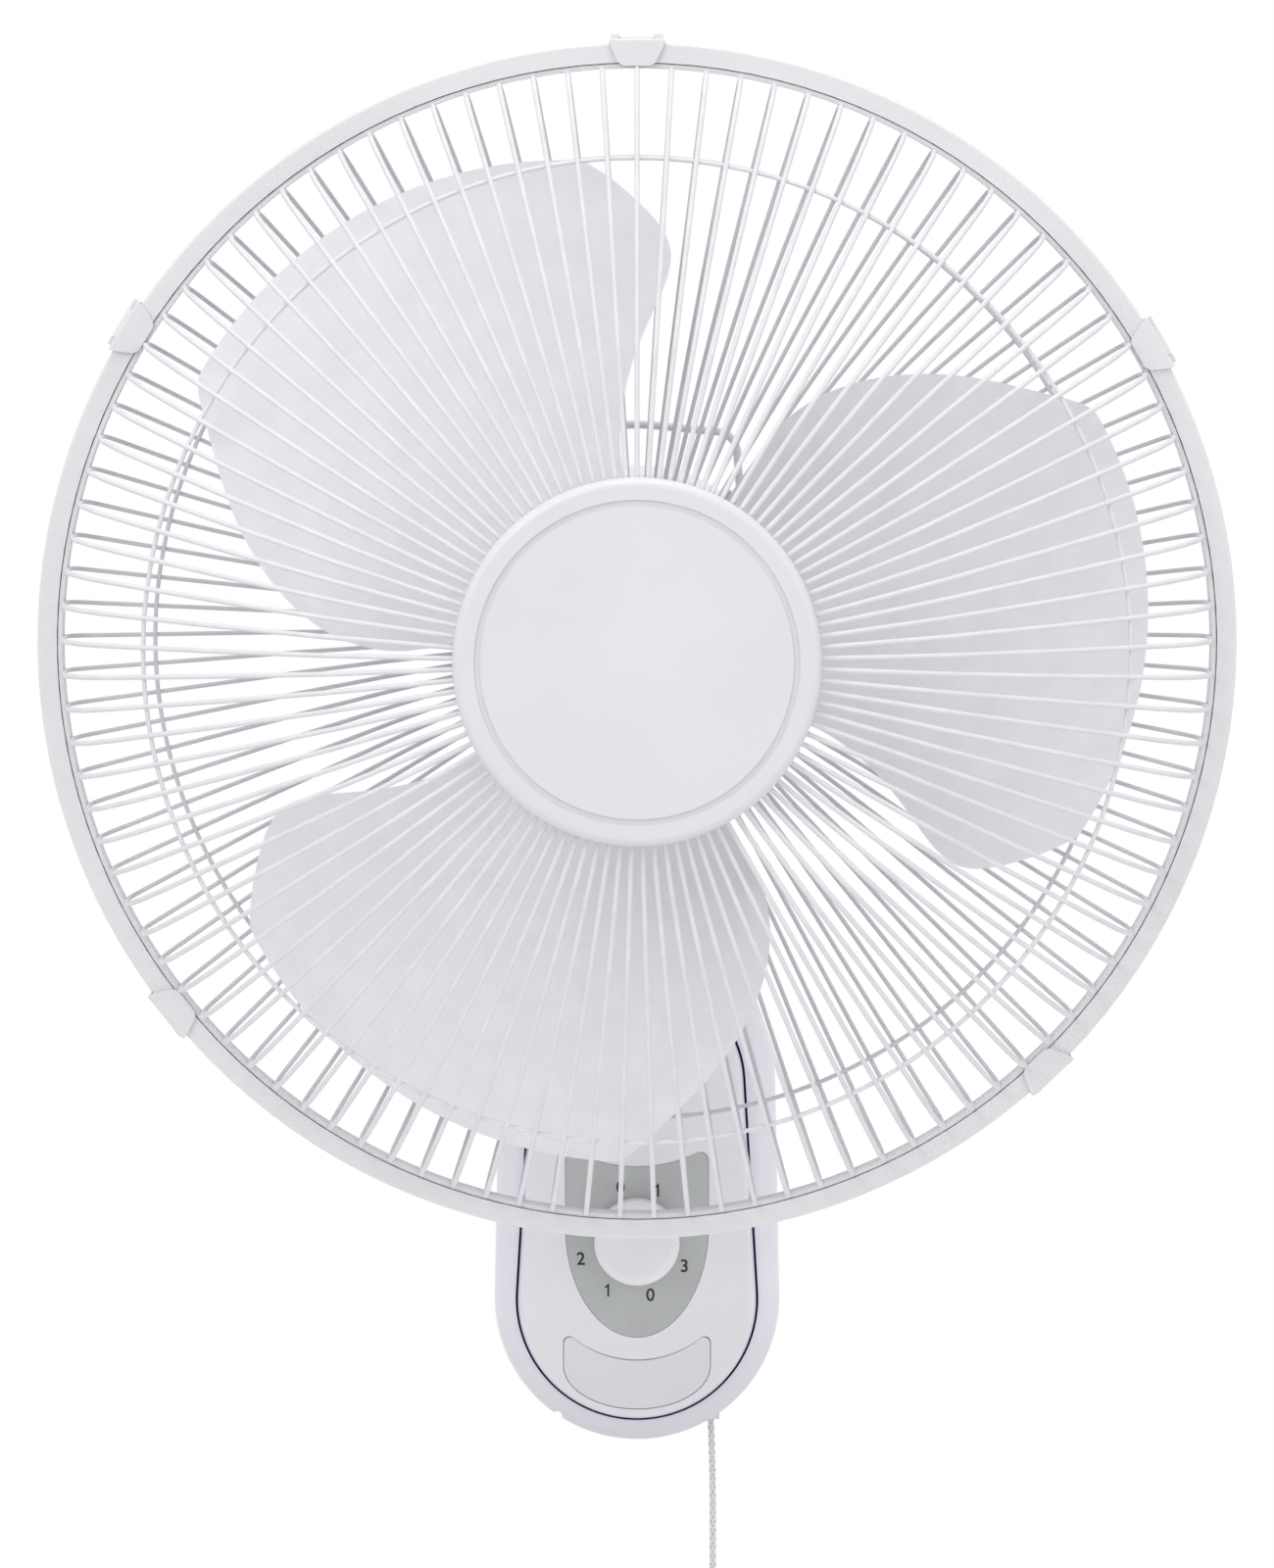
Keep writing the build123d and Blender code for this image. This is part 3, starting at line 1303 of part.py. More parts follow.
with BuildPart() as tilt_knob:
    with Locations((knob_inner, -tilt_axis_out, tilt_axis_up)):
        with Locations(Rot(0, -90, 0)):
            Cylinder(tilt_knob_radius, tilt_knob_height, align=ON_BACK)
            with PolarLocations(tilt_knob_radius, tilt_knob_flutes):
                Cylinder(1.4, tilt_knob_height, align=ON_BACK, mode=Mode.SUBTRACT)
            Cylinder(
                tilt_bolt_d / 2 + pressed, tilt_knob_height - 1.5, align=ON_BACK,
                mode=Mode.SUBTRACT,
            )
tilt_knob.part.label = "tilt_knob"
export_step(tilt_knob.part, "parts/tilt_knob.step")

# ---------------------------------------------------------------------------------------
# Base: housing and its front tray
# ---------------------------------------------------------------------------------------


def pill(inset, low, high):
    """The base's outline, or a line inside it, as a hull of a low and a high circle."""
    with Locations((0, base_low)):
        Circle(low - inset)
    with Locations((0, base_high)):
        Circle(high - inset)
    make_hull()


def bottom_edge(x):
    """The height of the base's outline at x, near its bottom."""
    return base_low - sqrt(base_half_low**2 - x**2)


back_wall = back_face - recess_depth
tray_inside = tray_front - base_wall
stem_half = neck_slot[0]

with BuildPart() as pocket:
    with BuildSketch(FRONT.offset(back_face)):
        pill(base_wall, base_half_low, base_half_high)
    extrude(amount=housing_front - base_wall - back_face)
    fillet(pocket.faces().sort_by(Axis.Y)[0].edges(), housing_round - base_wall)

with BuildPart() as rear_housing:
    with BuildSketch(FRONT.offset(wall_gap)):
        pill(0, base_half_low, base_half_high)
    extrude(amount=housing_front - wall_gap)
    fillet(rear_housing.faces().sort_by(Axis.Y)[0].edges(), housing_round)
    add(pocket.part, mode=Mode.SUBTRACT)
    with BuildSketch(FRONT.offset(housing_front - 2 * base_wall)):
        pill(0, seam_half_low, seam_half_high)
    extrude(amount=3 * base_wall, mode=Mode.SUBTRACT)
    with BuildSketch(FRONT.offset(wall_gap)):
        pill(base_wall + wall_gap, base_half_low, base_half_high)
    extrude(amount=recess_depth - wall_gap, mode=Mode.SUBTRACT)
    with BuildSketch(FRONT.offset(plate_thick + wall_gap)):
        with Locations(*neck_screws):
            Circle(post_radius)
    extrude(amount=back_face - plate_thick - wall_gap)
    with BuildSketch(FRONT.offset(plate_thick + wall_gap)):
        with Locations(*neck_screws):
            Circle(screw_d / 2 + pressed)
    extrude(amount=back_face, mode=Mode.SUBTRACT)
    with BuildSketch(FRONT.offset(wall_gap)):
        box_profile(
            -lock_boss_half, lock_boss_half, bottom_edge(0) + base_wall,
            lock_flange_up - plate_thick,
        )
    extrude(amount=recess_depth)
    with Locations((0, -lock_screw_out, lock_screw_seat)):
        Cylinder(lock_head[0] + 0.7, 4 * base_wall, align=ON_FRONT, mode=Mode.SUBTRACT)
        Cylinder(lock_screw_d / 2 + 0.2, 8 * base_wall, mode=Mode.SUBTRACT)
    with BuildSketch(FRONT.offset(recess_depth)):
        with Locations((-hook_at, hook_top), (hook_at, hook_top)):
            Rectangle(hook_width + 1, hook_slot, align=(Align.CENTER, Align.MAX))
        with Locations(*tray_posts):
            Circle(screw_d / 2 + slip)
    extrude(amount=back_wall, mode=Mode.SUBTRACT)
    with BuildSketch(Plane.XY.offset(base_high)):
        box_profile(-stem_half, stem_half, -neck_slot[2], -neck_slot[1])
    extrude(amount=2 * base_half_high, mode=Mode.SUBTRACT)
    with Locations((gland_at[0], -gland_at[1], bottom_edge(gland_at[0]))):
        Cylinder(gland_radius + pressed, 4 * base_wall, mode=Mode.SUBTRACT)
    with Locations((cord_x, -cord_out, bottom_edge(cord_x))):
        Cylinder(guide_radius + pressed, 8 * base_wall, mode=Mode.SUBTRACT)
    with BuildSketch(FRONT):
        with Locations((notch_at, bottom_edge(notch_at))):
            Circle(notch_radius)
    extrude(amount=housing_front, mode=Mode.SUBTRACT)
rear_housing.part.label = "rear_housing"
export_step(rear_housing.part, "parts/rear_housing.step")


def shield_edge(shape, grow=0.0):
    """An outline in (X, Z): flat sides, a round bottom and a hollow top."""
    half, top, dip, side_low, bottom = shape
    half += grow
    Line((half, side_low), (half, top + grow))
    ThreePointArc((half, top + grow), (0, dip + grow), (-half, top + grow))
    Line((-half, top + grow), (-half, side_low))
    EllipticalCenterArc(
        (0, side_low), half, side_low - bottom + grow, start_angle=180, arc_size=180
    )


dial_shape = (dial_half, dial_top, dial_dip, dial_side_low, dial_bottom)
insert_shape = (insert_half, insert_top, insert_dip, insert_side_low, insert_bottom)
dial_face = tray_front - dial_recess + dial_thick
insert_seat = tray_front - insert_thick

with BuildPart() as tray_hollow:
    with BuildSketch(FRONT.offset(tray_front - tray_skirt)):
        pill(seam_gap + base_wall, seam_half_low, seam_half_high)
    extrude(amount=tray_skirt - base_wall)

with BuildPart() as front_cover:
    with BuildSketch(FRONT.offset(tray_front - tray_skirt)):
        pill(seam_gap, seam_half_low, seam_half_high)
    extrude(amount=tray_skirt)
    fillet(front_cover.faces().sort_by(Axis.Y)[0].edges(), tray_edge)
    add(tray_hollow.part, mode=Mode.SUBTRACT)
    with BuildSketch(FRONT.offset(back_face)):
        with Locations(*tray_posts):
            Circle(post_radius)
    extrude(amount=tray_inside + 0.5 - back_face)
    with BuildSketch(FRONT.offset(back_face)):
        with Locations(*tray_posts):
            Circle(screw_d / 2 + pressed)
    extrude(amount=base_screw_length, mode=Mode.SUBTRACT)
    with BuildSketch(FRONT.offset(switch_front)):
        with Locations(
            (0, dial_centre_up - switch_screw_at), (0, dial_centre_up + switch_screw_at)
        ):
            Circle(switch_post)
    extrude(amount=tray_inside + 0.5 - switch_front)
    with BuildSketch(FRONT.offset(switch_front)):
        with Locations(
            (0, dial_centre_up - switch_screw_at), (0, dial_centre_up + switch_screw_at)
        ):
            Circle(screw_d / 2 + pressed)
    extrude(amount=base_screw_length, mode=Mode.SUBTRACT)
    with BuildSketch(KNOB_PLANE.offset(spring_back)):
        Circle(spindle_d / 2 + 1)
    extrude(amount=tray_inside + 0.5 - spring_back)
    with BuildSketch(FRONT.offset(tray_front - dial_recess)):
        with BuildLine():
            shield_edge(dial_shape, slip / 2)
        make_face()
        fillet(vertices().group_by(Axis.Y)[-1], dial_round)
    extrude(amount=dial_recess, mode=Mode.SUBTRACT)
    with BuildSketch(FRONT.offset(insert_seat)):
        with BuildLine():
            shield_edge(insert_shape, slip)
        make_face()
        fillet(vertices().group_by(Axis.Y)[-1], insert_round)
    extrude(amount=insert_thick, mode=Mode.SUBTRACT)
    with BuildSketch(KNOB_PLANE.offset(spring_back)):
        Circle(spindle_d / 2 + running)
    extrude(amount=tray_front - spring_back, mode=Mode.SUBTRACT)
front_cover.part.label = "front_cover"
export_step(front_cover.part, "parts/front_cover.step")

with BuildPart() as dial_plate:
    with BuildSketch(FRONT.offset(tray_front - dial_recess)):
        with BuildLine():
            shield_edge(dial_shape)
        make_face()
        fillet(vertices().group_by(Axis.Y)[-1], dial_round)
        with Locations((0, dial_centre_up)):
            Circle(spindle_d / 2 + slip, mode=Mode.SUBTRACT)
    extrude(amount=dial_thick)
dial_plate.part.label = "dial_plate"
export_step(dial_plate.part, "parts/dial_plate.step")

with BuildPart() as crescent_insert:
    with BuildSketch(FRONT.offset(insert_seat)):
        with BuildLine():
            shield_edge(insert_shape)
        make_face()
        fillet(vertices().group_by(Axis.Y)[-1], insert_round)
    extrude(amount=insert_thick)
crescent_insert.part.label = "crescent_insert"
export_step(crescent_insert.part, "parts/crescent_insert.step")

# ---------------------------------------------------------------------------------------
# Speed switch, knob and pull-cord ratchet
# ---------------------------------------------------------------------------------------

ear_width, ear_reach, ear_thick = switch_ear
knob_back = dial_face + knob_gap

with BuildPart() as rotary_switch:
    with BuildSketch(KNOB_PLANE.offset(switch_back)):
        Rectangle(switch_size, switch_size)
        fillet(vertices(), 2)
    extrude(amount=switch_front - switch_back)
    with BuildSketch(KNOB_PLANE.offset(switch_front - ear_thick)):
        Rectangle(ear_width, ear_reach)
        with Locations((0, -switch_screw_at), (0, switch_screw_at)):
            Circle(screw_d / 2 + slip, mode=Mode.SUBTRACT)
    extrude(amount=ear_thick)
    with BuildSketch(KNOB_PLANE.offset(spindle_back - 4)):
        Circle(spindle_d / 2 + running)
    extrude(amount=4, mode=Mode.SUBTRACT)
rotary_switch.part.label = "rotary_switch"
export_step(rotary_switch.part, "parts/rotary_switch.step")

with BuildPart() as switch_spindle:
    with BuildSketch(KNOB_PLANE.offset(spindle_back - 3)):
        Circle(spindle_d / 2)
    extrude(amount=spindle_front - spindle_back + 3)
    with BuildSketch(KNOB_PLANE.offset(lever_back - 1 - ratchet_thick)):
        Circle(ratchet_radius - 2)
        with PolarLocations(ratchet_radius - 2.5, ratchet_teeth):
            Triangle(a=6, b=4.5, c=4.5, rotation=90)
    extrude(amount=ratchet_thick)
switch_spindle.part.label = "switch_spindle"
export_step(switch_spindle.part, "parts/switch_spindle.step")

with BuildPart() as speed_knob:
    with BuildSketch(KNOB_PLANE.offset(knob_back)):
        Circle(knob_radius)
    extrude(amount=knob_height)
    fillet(speed_knob.faces().sort_by(Axis.Y)[0].edges(), knob_round)
    with BuildSketch(KNOB_PLANE.offset(knob_back)):
        Circle(knob_radius - knob_wall)
        Circle(spindle_d / 2 + knob_wall + 1, mode=Mode.SUBTRACT)
    extrude(amount=knob_height - 2 * knob_wall, mode=Mode.SUBTRACT)
    with BuildSketch(KNOB_PLANE.offset(knob_back)):
        Circle(spindle_d / 2 + pressed)
    extrude(amount=spindle_front - knob_back + slip, mode=Mode.SUBTRACT)
speed_knob.part.label = "speed_knob"
export_step(speed_knob.part, "parts/speed_knob.step")

fork_from, fork_to, fork_depth, fork_slot = lever_fork

with BuildPart() as ratchet_lever:
    with BuildSketch(KNOB_PLANE.offset(lever_back)):
        Circle(lever_hub)
        with Locations(Rot(0, 0, lever_rest)):
            with Locations((fork_to / 2, 0)):
                Rectangle(fork_to, lever_width)
        Circle(spindle_d / 2 + running, mode=Mode.SUBTRACT)
    extrude(amount=lever_thick)
    with BuildSketch(KNOB_PLANE.offset(cord_out - fork_depth / 2)):
        with Locations(Rot(0, 0, lever_rest)):
            with Locations(((fork_from + fork_to) / 2, 0)):
                Rectangle(fork_to - fork_from, lever_width)
    extrude(amount=fork_depth)
    with BuildSketch(KNOB_PLANE.offset(cord_out - fork_slot / 2)):
        with Locations(Rot(0, 0, lever_rest)):
            with Locations(((fork_from + fork_to) / 2 + 1.5, 0)):
                Rectangle(fork_to - fork_from, 2 * lever_width)
    extrude(amount=fork_slot, mode=Mode.SUBTRACT)
ratchet_lever.part.label = "ratchet_lever"
export_step(ratchet_lever.part, "parts/ratchet_lever.step")

with BuildPart() as lever_spring:
    with BuildSketch(KNOB_PLANE.offset(spring_back)):
        Circle(spring_radius)
        Circle(spindle_d / 2 + 1 + running, mode=Mode.SUBTRACT)
    extrude(amount=spring_length)
lever_spring.part.label = "lever_spring"
export_step(lever_spring.part, "parts/lever_spring.step")

# ---------------------------------------------------------------------------------------
# Pull cord: the part inside the base, the part below it and the bell
# ---------------------------------------------------------------------------------------

cord_radius = cord_d / 2
cord_start = (cord_x, cord_mouth)


def bend_radii(points):
    """Bend radii: 0.45 of the shorter run over the tangent of half the turn."""
    radii = []
    for before, middle, after in zip(points, points[1:], points[2:]):
        one = (middle[0] - before[0], middle[1] - before[1])
        two = (after[0] - middle[0], after[1] - middle[1])
        turn = abs(atan2(one[0] * two[1] - one[1] * two[0], one[0] * two[0] + one[1] * two[1]))
        radii.append(0.45 * min(hypot(*one), hypot(*two)) / tan(turn / 2))
    return radii


with BuildPart() as cord_inner:
    with Locations((cord_x, -cord_out, cord_mouth + cord_joint)):
        Cylinder(cord_radius, cord_top - cord_mouth - cord_joint, align=ON_BACK)
    with Locations((cord_x, -cord_out, cord_top)):
        Sphere(cord_knot)
cord_inner.part.label = "cord_inner"
export_step(cord_inner.part, "parts/cord_inner.step")

with BuildPart() as pull_cord:
    cord_points = [cord_start, *cord_route]
    with BuildLine(FRONT.offset(cord_out)) as cord_line:
        FilletPolyline(*cord_points, radius=bend_radii(cord_points))
    with BuildSketch(Plane(origin=cord_line.line @ 0, z_dir=cord_line.line % 0)):
        Circle(cord_radius)
    sweep(path=cord_line.line)
pull_cord.part.label = "pull_cord"
export_step(pull_cord.part, "parts/pull_cord.step")
print("pull_cord radii", [round(radius, 1) for radius in bend_radii(cord_points)])
print("pull_cord length", round(cord_line.wires()[0].length, 1))

bell_x, bell_top = cord_route[-1]

with BuildPart() as cord_bell:
    with BuildSketch(Plane((bell_x, -cord_out, bell_top), x_dir=(1, 0, 0), z_dir=(0, -1, 0))):
        with BuildLine():
            Line((0, 0), (bell_neck, 0))
            Spline(
                (bell_neck, 0), (bell_neck + 1.4, -bell_height * 0.45),
                (bell_radius, -bell_height + 1.5), tangents=[(0, -1), (0.3, -1)],
            )
            Line((bell_radius, -bell_height + 1.5), (bell_radius - 0.4, -bell_height))
            Line((bell_radius - 0.4, -bell_height), (0, -bell_height))
            Line((0, -bell_height), (0, 0))
        make_face()
    revolve(axis=Axis((bell_x, -cord_out, bell_top), (0, 0, 1)))
cord_bell.part.label = "cord_bell"
export_step(cord_bell.part, "parts/cord_bell.step")

with BuildPart() as pull_cord_guide:
    with Locations((cord_x, -cord_out, cord_mouth)):
        Cylinder(guide_radius, guide_top - cord_mouth, align=ON_BACK)
    with Locations((cord_x, -cord_out, guide_top)):
        Cylinder(guide_flange, 1.2, align=ON_FRONT)
    with Locations((cord_x, -cord_out, guide_top)):
        Cylinder(guide_bore, 10 * base_wall, mode=Mode.SUBTRACT)
pull_cord_guide.part.label = "pull_cord_guide"
export_step(pull_cord_guide.part, "parts/pull_cord_guide.step")

# ---------------------------------------------------------------------------------------
# Wall bracket and what is screwed to the base
# ---------------------------------------------------------------------------------------

hook_front = back_face + slip

with BuildPart() as wall_bracket:
    with BuildSketch(FRONT):
        Rectangle(2 * plate_half, 2 * plate_up)
        fillet(vertices(), 6)
        box_profile(
            -tongue_half, tongue_half, lock_flange_up - plate_thick, -plate_up + 5
        )
        with GridLocations(wall_hole_spacing[0], wall_hole_spacing[1], 2, 2):
            Circle(wall_hole_d / 2, mode=Mode.SUBTRACT)
    extrude(amount=plate_thick)
    for side in (-1, 1):
        with BuildSketch(SIDE.offset(side * hook_at - hook_width / 2)):
            with BuildLine():
                Polyline(
                    (plate_thick / 2, hook_top), (plate_thick / 2, hook_top - plate_thick),
                    (hook_front + plate_thick, hook_top - plate_thick),
                    (hook_front + plate_thick, hook_top + hook_lip),
                    (hook_front, hook_top + hook_lip), (hook_front, hook_top), close=True,
                )
            make_face()
        extrude(amount=hook_width)
    with BuildSketch(Plane.XY.offset(lock_flange_up)):
        box_profile(-tongue_half, tongue_half, -lock_flange_out, -plate_thick / 2)
        with Locations((0, -lock_screw_out)):
            Circle(lock_screw_d / 2 + pressed, mode=Mode.SUBTRACT)
    extrude(amount=-plate_thick)
wall_bracket.part.label = "wall_bracket"
export_step(wall_bracket.part, "parts/wall_bracket.step")

with BuildPart() as locking_screw:
    with Locations((0, -lock_screw_out, lock_screw_seat)):
        Cylinder(lock_head[0], lock_head[1], align=ON_FRONT)
        Cylinder(lock_screw_d / 2, lock_screw_top - lock_screw_seat, align=ON_BACK)
    with Locations((0, -lock_screw_out, lock_screw_seat - lock_head[1])):
        Box(2 * lock_head[0], 0.8, 1.6, mode=Mode.SUBTRACT)
locking_screw.part.label = "locking_screw"
export_step(locking_screw.part, "parts/locking_screw.step")

# one screw on the bench: head towards -Z, shank towards +Z from the origin
with BuildPart() as bench_base_screw:
    Cylinder(screw_head_radius, screw_head_height, align=ON_FRONT)
    Cylinder(screw_d / 2, base_screw_length, align=ON_BACK)
    with Locations((0, 0, -screw_head_height)):
        Box(2 * screw_head_radius * 0.7, 0.7, 0.9, mode=Mode.SUBTRACT)
        Box(0.7, 2 * screw_head_radius * 0.7, 0.9, mode=Mode.SUBTRACT)

with BuildPart() as base_screws:
    with Locations(FRONT.offset(back_face + plate_deep).location):
        with Locations(*neck_screws):
            with Locations(Rot(180, 0, 0)):
                add(bench_base_screw.part)
    with Locations(FRONT.offset(recess_depth).location):
        with Locations(*tray_posts):
            add(bench_base_screw.part)
    with Locations(KNOB_PLANE.offset(switch_front - ear_thick).location):
        with Locations((0, -switch_screw_at), (0, switch_screw_at)):
            add(bench_base_screw.part)
base_screws.part.label = "base_screws"
export_step(base_screws.part, "parts/base_screws.step")

with BuildPart() as inlet_gland:
    with Locations((gland_at[0], -gland_at[1], gland_bottom)):
        Cylinder(gland_radius, gland_top - gland_bottom, align=ON_BACK)
    with Locations((gland_at[0], -gland_at[1], gland_top)):
        Cylinder(gland_flange, 2, align=ON_BACK)
        Cylinder(gland_bore, 8 * base_wall, mode=Mode.SUBTRACT)
inlet_gland.part.label = "inlet_gland"
export_step(inlet_gland.part, "parts/inlet_gland.step")

with BuildPart() as terminal_block:
    left, right, low, high, deep = terminal_box
    with BuildSketch(FRONT.offset(back_face)):
        box_profile(left, right, low, high)
    extrude(amount=deep)
    with BuildSketch(FRONT.offset(back_face + deep)):
        with Locations(((left + right) / 2, (low + high) / 2)):
            with GridLocations(7.5, 8, 3, 2):
                Circle(1.8)
    extrude(amount=-5, mode=Mode.SUBTRACT)
terminal_block.part.label = "terminal_block"
export_step(terminal_block.part, "parts/terminal_block.step")

with BuildPart() as capacitor:
    left, right, low, high, deep = capacitor_box
    with BuildSketch(FRONT.offset(back_face)):
        box_profile(left, right, low, high)
        fillet(vertices(), 2)
    extrude(amount=deep)
capacitor.part.label = "capacitor"
export_step(capacitor.part, "parts/capacitor.step")
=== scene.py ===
# %% [markdown]
# # A wall mounted fan, dressed in Blender
#
# The fan's solid pieces come ready made from the CAD model: two wire guards, the rim that
# joins them, the blades, the motor in its covers, the neck and the wall base with its dial.
# This lesson gives them finishes, light and a camera, and makes the two things that a CAD
# model draws too plainly: the braided pull cord and the numbers printed round the knob.
# The frame is metres, with the wall at y = 0, the front of the fan towards -y and +z up.

# %% Load the solid pieces and note their box
import math

import bmesh
import bpy
from mathutils import Matrix, Vector


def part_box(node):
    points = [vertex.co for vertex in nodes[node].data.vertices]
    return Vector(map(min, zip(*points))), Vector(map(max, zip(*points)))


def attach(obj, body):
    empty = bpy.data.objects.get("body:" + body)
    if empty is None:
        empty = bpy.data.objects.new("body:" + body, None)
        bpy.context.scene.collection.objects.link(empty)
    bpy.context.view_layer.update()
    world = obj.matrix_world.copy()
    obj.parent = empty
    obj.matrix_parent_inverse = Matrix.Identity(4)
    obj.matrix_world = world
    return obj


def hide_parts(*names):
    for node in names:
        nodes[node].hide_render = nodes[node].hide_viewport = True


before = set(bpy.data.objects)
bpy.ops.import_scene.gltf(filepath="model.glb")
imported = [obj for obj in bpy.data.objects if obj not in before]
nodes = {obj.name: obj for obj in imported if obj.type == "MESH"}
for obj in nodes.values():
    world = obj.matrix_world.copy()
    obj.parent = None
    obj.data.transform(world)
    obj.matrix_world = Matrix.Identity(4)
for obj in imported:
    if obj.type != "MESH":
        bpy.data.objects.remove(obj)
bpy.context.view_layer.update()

# %% [markdown]
# ## The camera
#
# The picture was taken almost square on to the wall, from over two metres away, so the rim
# looks round and the sides of the base hardly converge. A long lens at that distance, a
# little above the middle and tipped down to match, gives the same picture. The height of
# the frame is fixed, because the frame is taller than wide.

# %% A long lens in front of the fan
VIEW_DISTANCE = 2.25  # from the wall
VIEW_HEIGHT = 0.1475
VIEW_TIP = 0.3  # degrees below level
FRAME_HEIGHT = 0.56208  # what the frame's height covers, FRAME_DEPTH in front of the camera
FRAME_DEPTH = 2.0
SENSOR = 36

lens = bpy.data.cameras.new("lens")
lens.sensor_fit = "VERTICAL"
lens.sensor_height = SENSOR
lens.lens = SENSOR * FRAME_DEPTH / FRAME_HEIGHT
lens.clip_end = 50
camera = bpy.data.objects.new("camera", lens)
camera.matrix_world = Matrix.Translation((0, -VIEW_DISTANCE, VIEW_HEIGHT)) @ Matrix.Rotation(
    math.radians(90 - VIEW_TIP), 4, "X"
)
bpy.context.scene.collection.objects.link(camera)
bpy.context.scene.camera = camera
print("lens:", round(lens.lens, 1), "mm")

# %% [markdown]
# ## Soft studio light
#
# A pale object on a white ground needs light from everywhere, with a little more from the
# upper left, or its edges vanish. The world gives the even light. It shows pure white only
# to the camera and to mirror and glass rays, while the light that falls on the fan is
# softer, so that pale plastic stays below white. Two large lamps in front shape the curves.

# %% World: white to look at, softer as light
SKY_LEVEL = 0.91  # from straight above
GROUND_LEVEL = 0.39  # from straight below

world = bpy.data.worlds.new("studio")
bpy.context.scene.world = world
world.use_nodes = True
sky = world.node_tree
background = sky.nodes["Background"]
background.inputs["Color"].default_value = (1, 1, 1, 1)
light_path = sky.nodes.new("ShaderNodeLightPath")


def either(tree, one, two):
    """The larger of two sockets."""
    larger = tree.nodes.new("ShaderNodeMath")
    larger.operation = "MAXIMUM"
    tree.links.new(one, larger.inputs[0])
    tree.links.new(two, larger.inputs[1])
    return larger.outputs[0]


seen = either(
    sky,
    either(sky, light_path.outputs["Is Camera Ray"], light_path.outputs["Is Glossy Ray"]),
    light_path.outputs["Is Transmission Ray"],
)
direction = sky.nodes.new("ShaderNodeTexCoord")
height = sky.nodes.new("ShaderNodeSeparateXYZ")
sky.links.new(direction.outputs["Generated"], height.inputs[0])
soft = sky.nodes.new("ShaderNodeMapRange")
soft.inputs["From Min"].default_value = -1
soft.inputs["To Min"].default_value = GROUND_LEVEL
soft.inputs["To Max"].default_value = SKY_LEVEL
sky.links.new(height.outputs["Z"], soft.inputs["Value"])
level = sky.nodes.new("ShaderNodeMapRange")
level.inputs["To Max"].default_value = 1
sky.links.new(seen, level.inputs["Value"])
sky.links.new(soft.outputs["Result"], level.inputs["To Min"])
sky.links.new(level.outputs["Result"], background.inputs["Strength"])
bpy.context.scene.view_settings.view_transform = "Standard"
print("light on the fan from above and below:", SKY_LEVEL, GROUND_LEVEL)

# %% Two large lamps and a small one from above
AIM = Vector((0, -0.15, 0.12))


def soft_lamp(name, place, size, power):
    """A square lamp at place, turned to the fan."""
    light = bpy.data.lights.new(name, "AREA")
    light.size = size
    light.energy = power
    lamp = bpy.data.objects.new(name, light)
    facing = (AIM - Vector(place)).to_track_quat("-Z", "Y").to_matrix().to_4x4()
    lamp.matrix_world = Matrix.Translation(place) @ facing
    bpy.context.scene.collection.objects.link(lamp)
    return lamp


soft_lamp("key", (-1.1, -1.9, 1.3), 1.2, 12)
soft_lamp("fill", (1.5, -1.7, 0.4), 1.2, 5)
soft_lamp("top", (0.1, -0.9, 2.0), 0.9, 8)
print("lamps: key, fill, top")

# %% [markdown]
# ## The floor
#
# The fan hangs on a wall, so the floor is well below it, outside the picture. It is only
# there to catch a shadow and throw a little light back up in the other views.

# %% A pale floor below the fan
FLOOR_HEIGHT = -0.42
FLOOR_REACH = 1.1

floor_mesh = bpy.data.meshes.new("floor")
build = bmesh.new()
bmesh.ops.create_grid(build, x_segments=2, y_segments=2, size=FLOOR_REACH)
bmesh.ops.translate(build, verts=build.verts, vec=(0, 0, FLOOR_HEIGHT))
build.to_mesh(floor_mesh)
build.free()
floor = bpy.data.objects.new("floor", floor_mesh)
bpy.context.scene.collection.objects.link(floor)
print("floor at", FLOOR_HEIGHT)

# %% [markdown]
# ## Shader maths in plain Python
#
# A finish is a small sum: a base colour, plus a little mottling, times a little grain. To
# write it as a sum, one class stands for the output of a node and turns + and * into Math
# nodes. A second one is the finish itself: it adds any other node by its type.

# %% A class for sockets and a class for finishes
class Signal:
    """The output of a node, which can be added and multiplied."""

    def __init__(self, finish, socket):
        self.finish = finish
        self.socket = socket

    def maths(self, operation, first, second):
        return self.finish.node("ShaderNodeMath", {"operation": operation}, {0: first, 1: second})

    def __add__(self, other):
        return self.maths("ADD", self, other)

    def __mul__(self, other):
        return self.maths("MULTIPLY", self, other)

    def __radd__(self, other):
        return self.maths("ADD", other, self)

    def __rmul__(self, other):
        return self.maths("MULTIPLY", other, self)


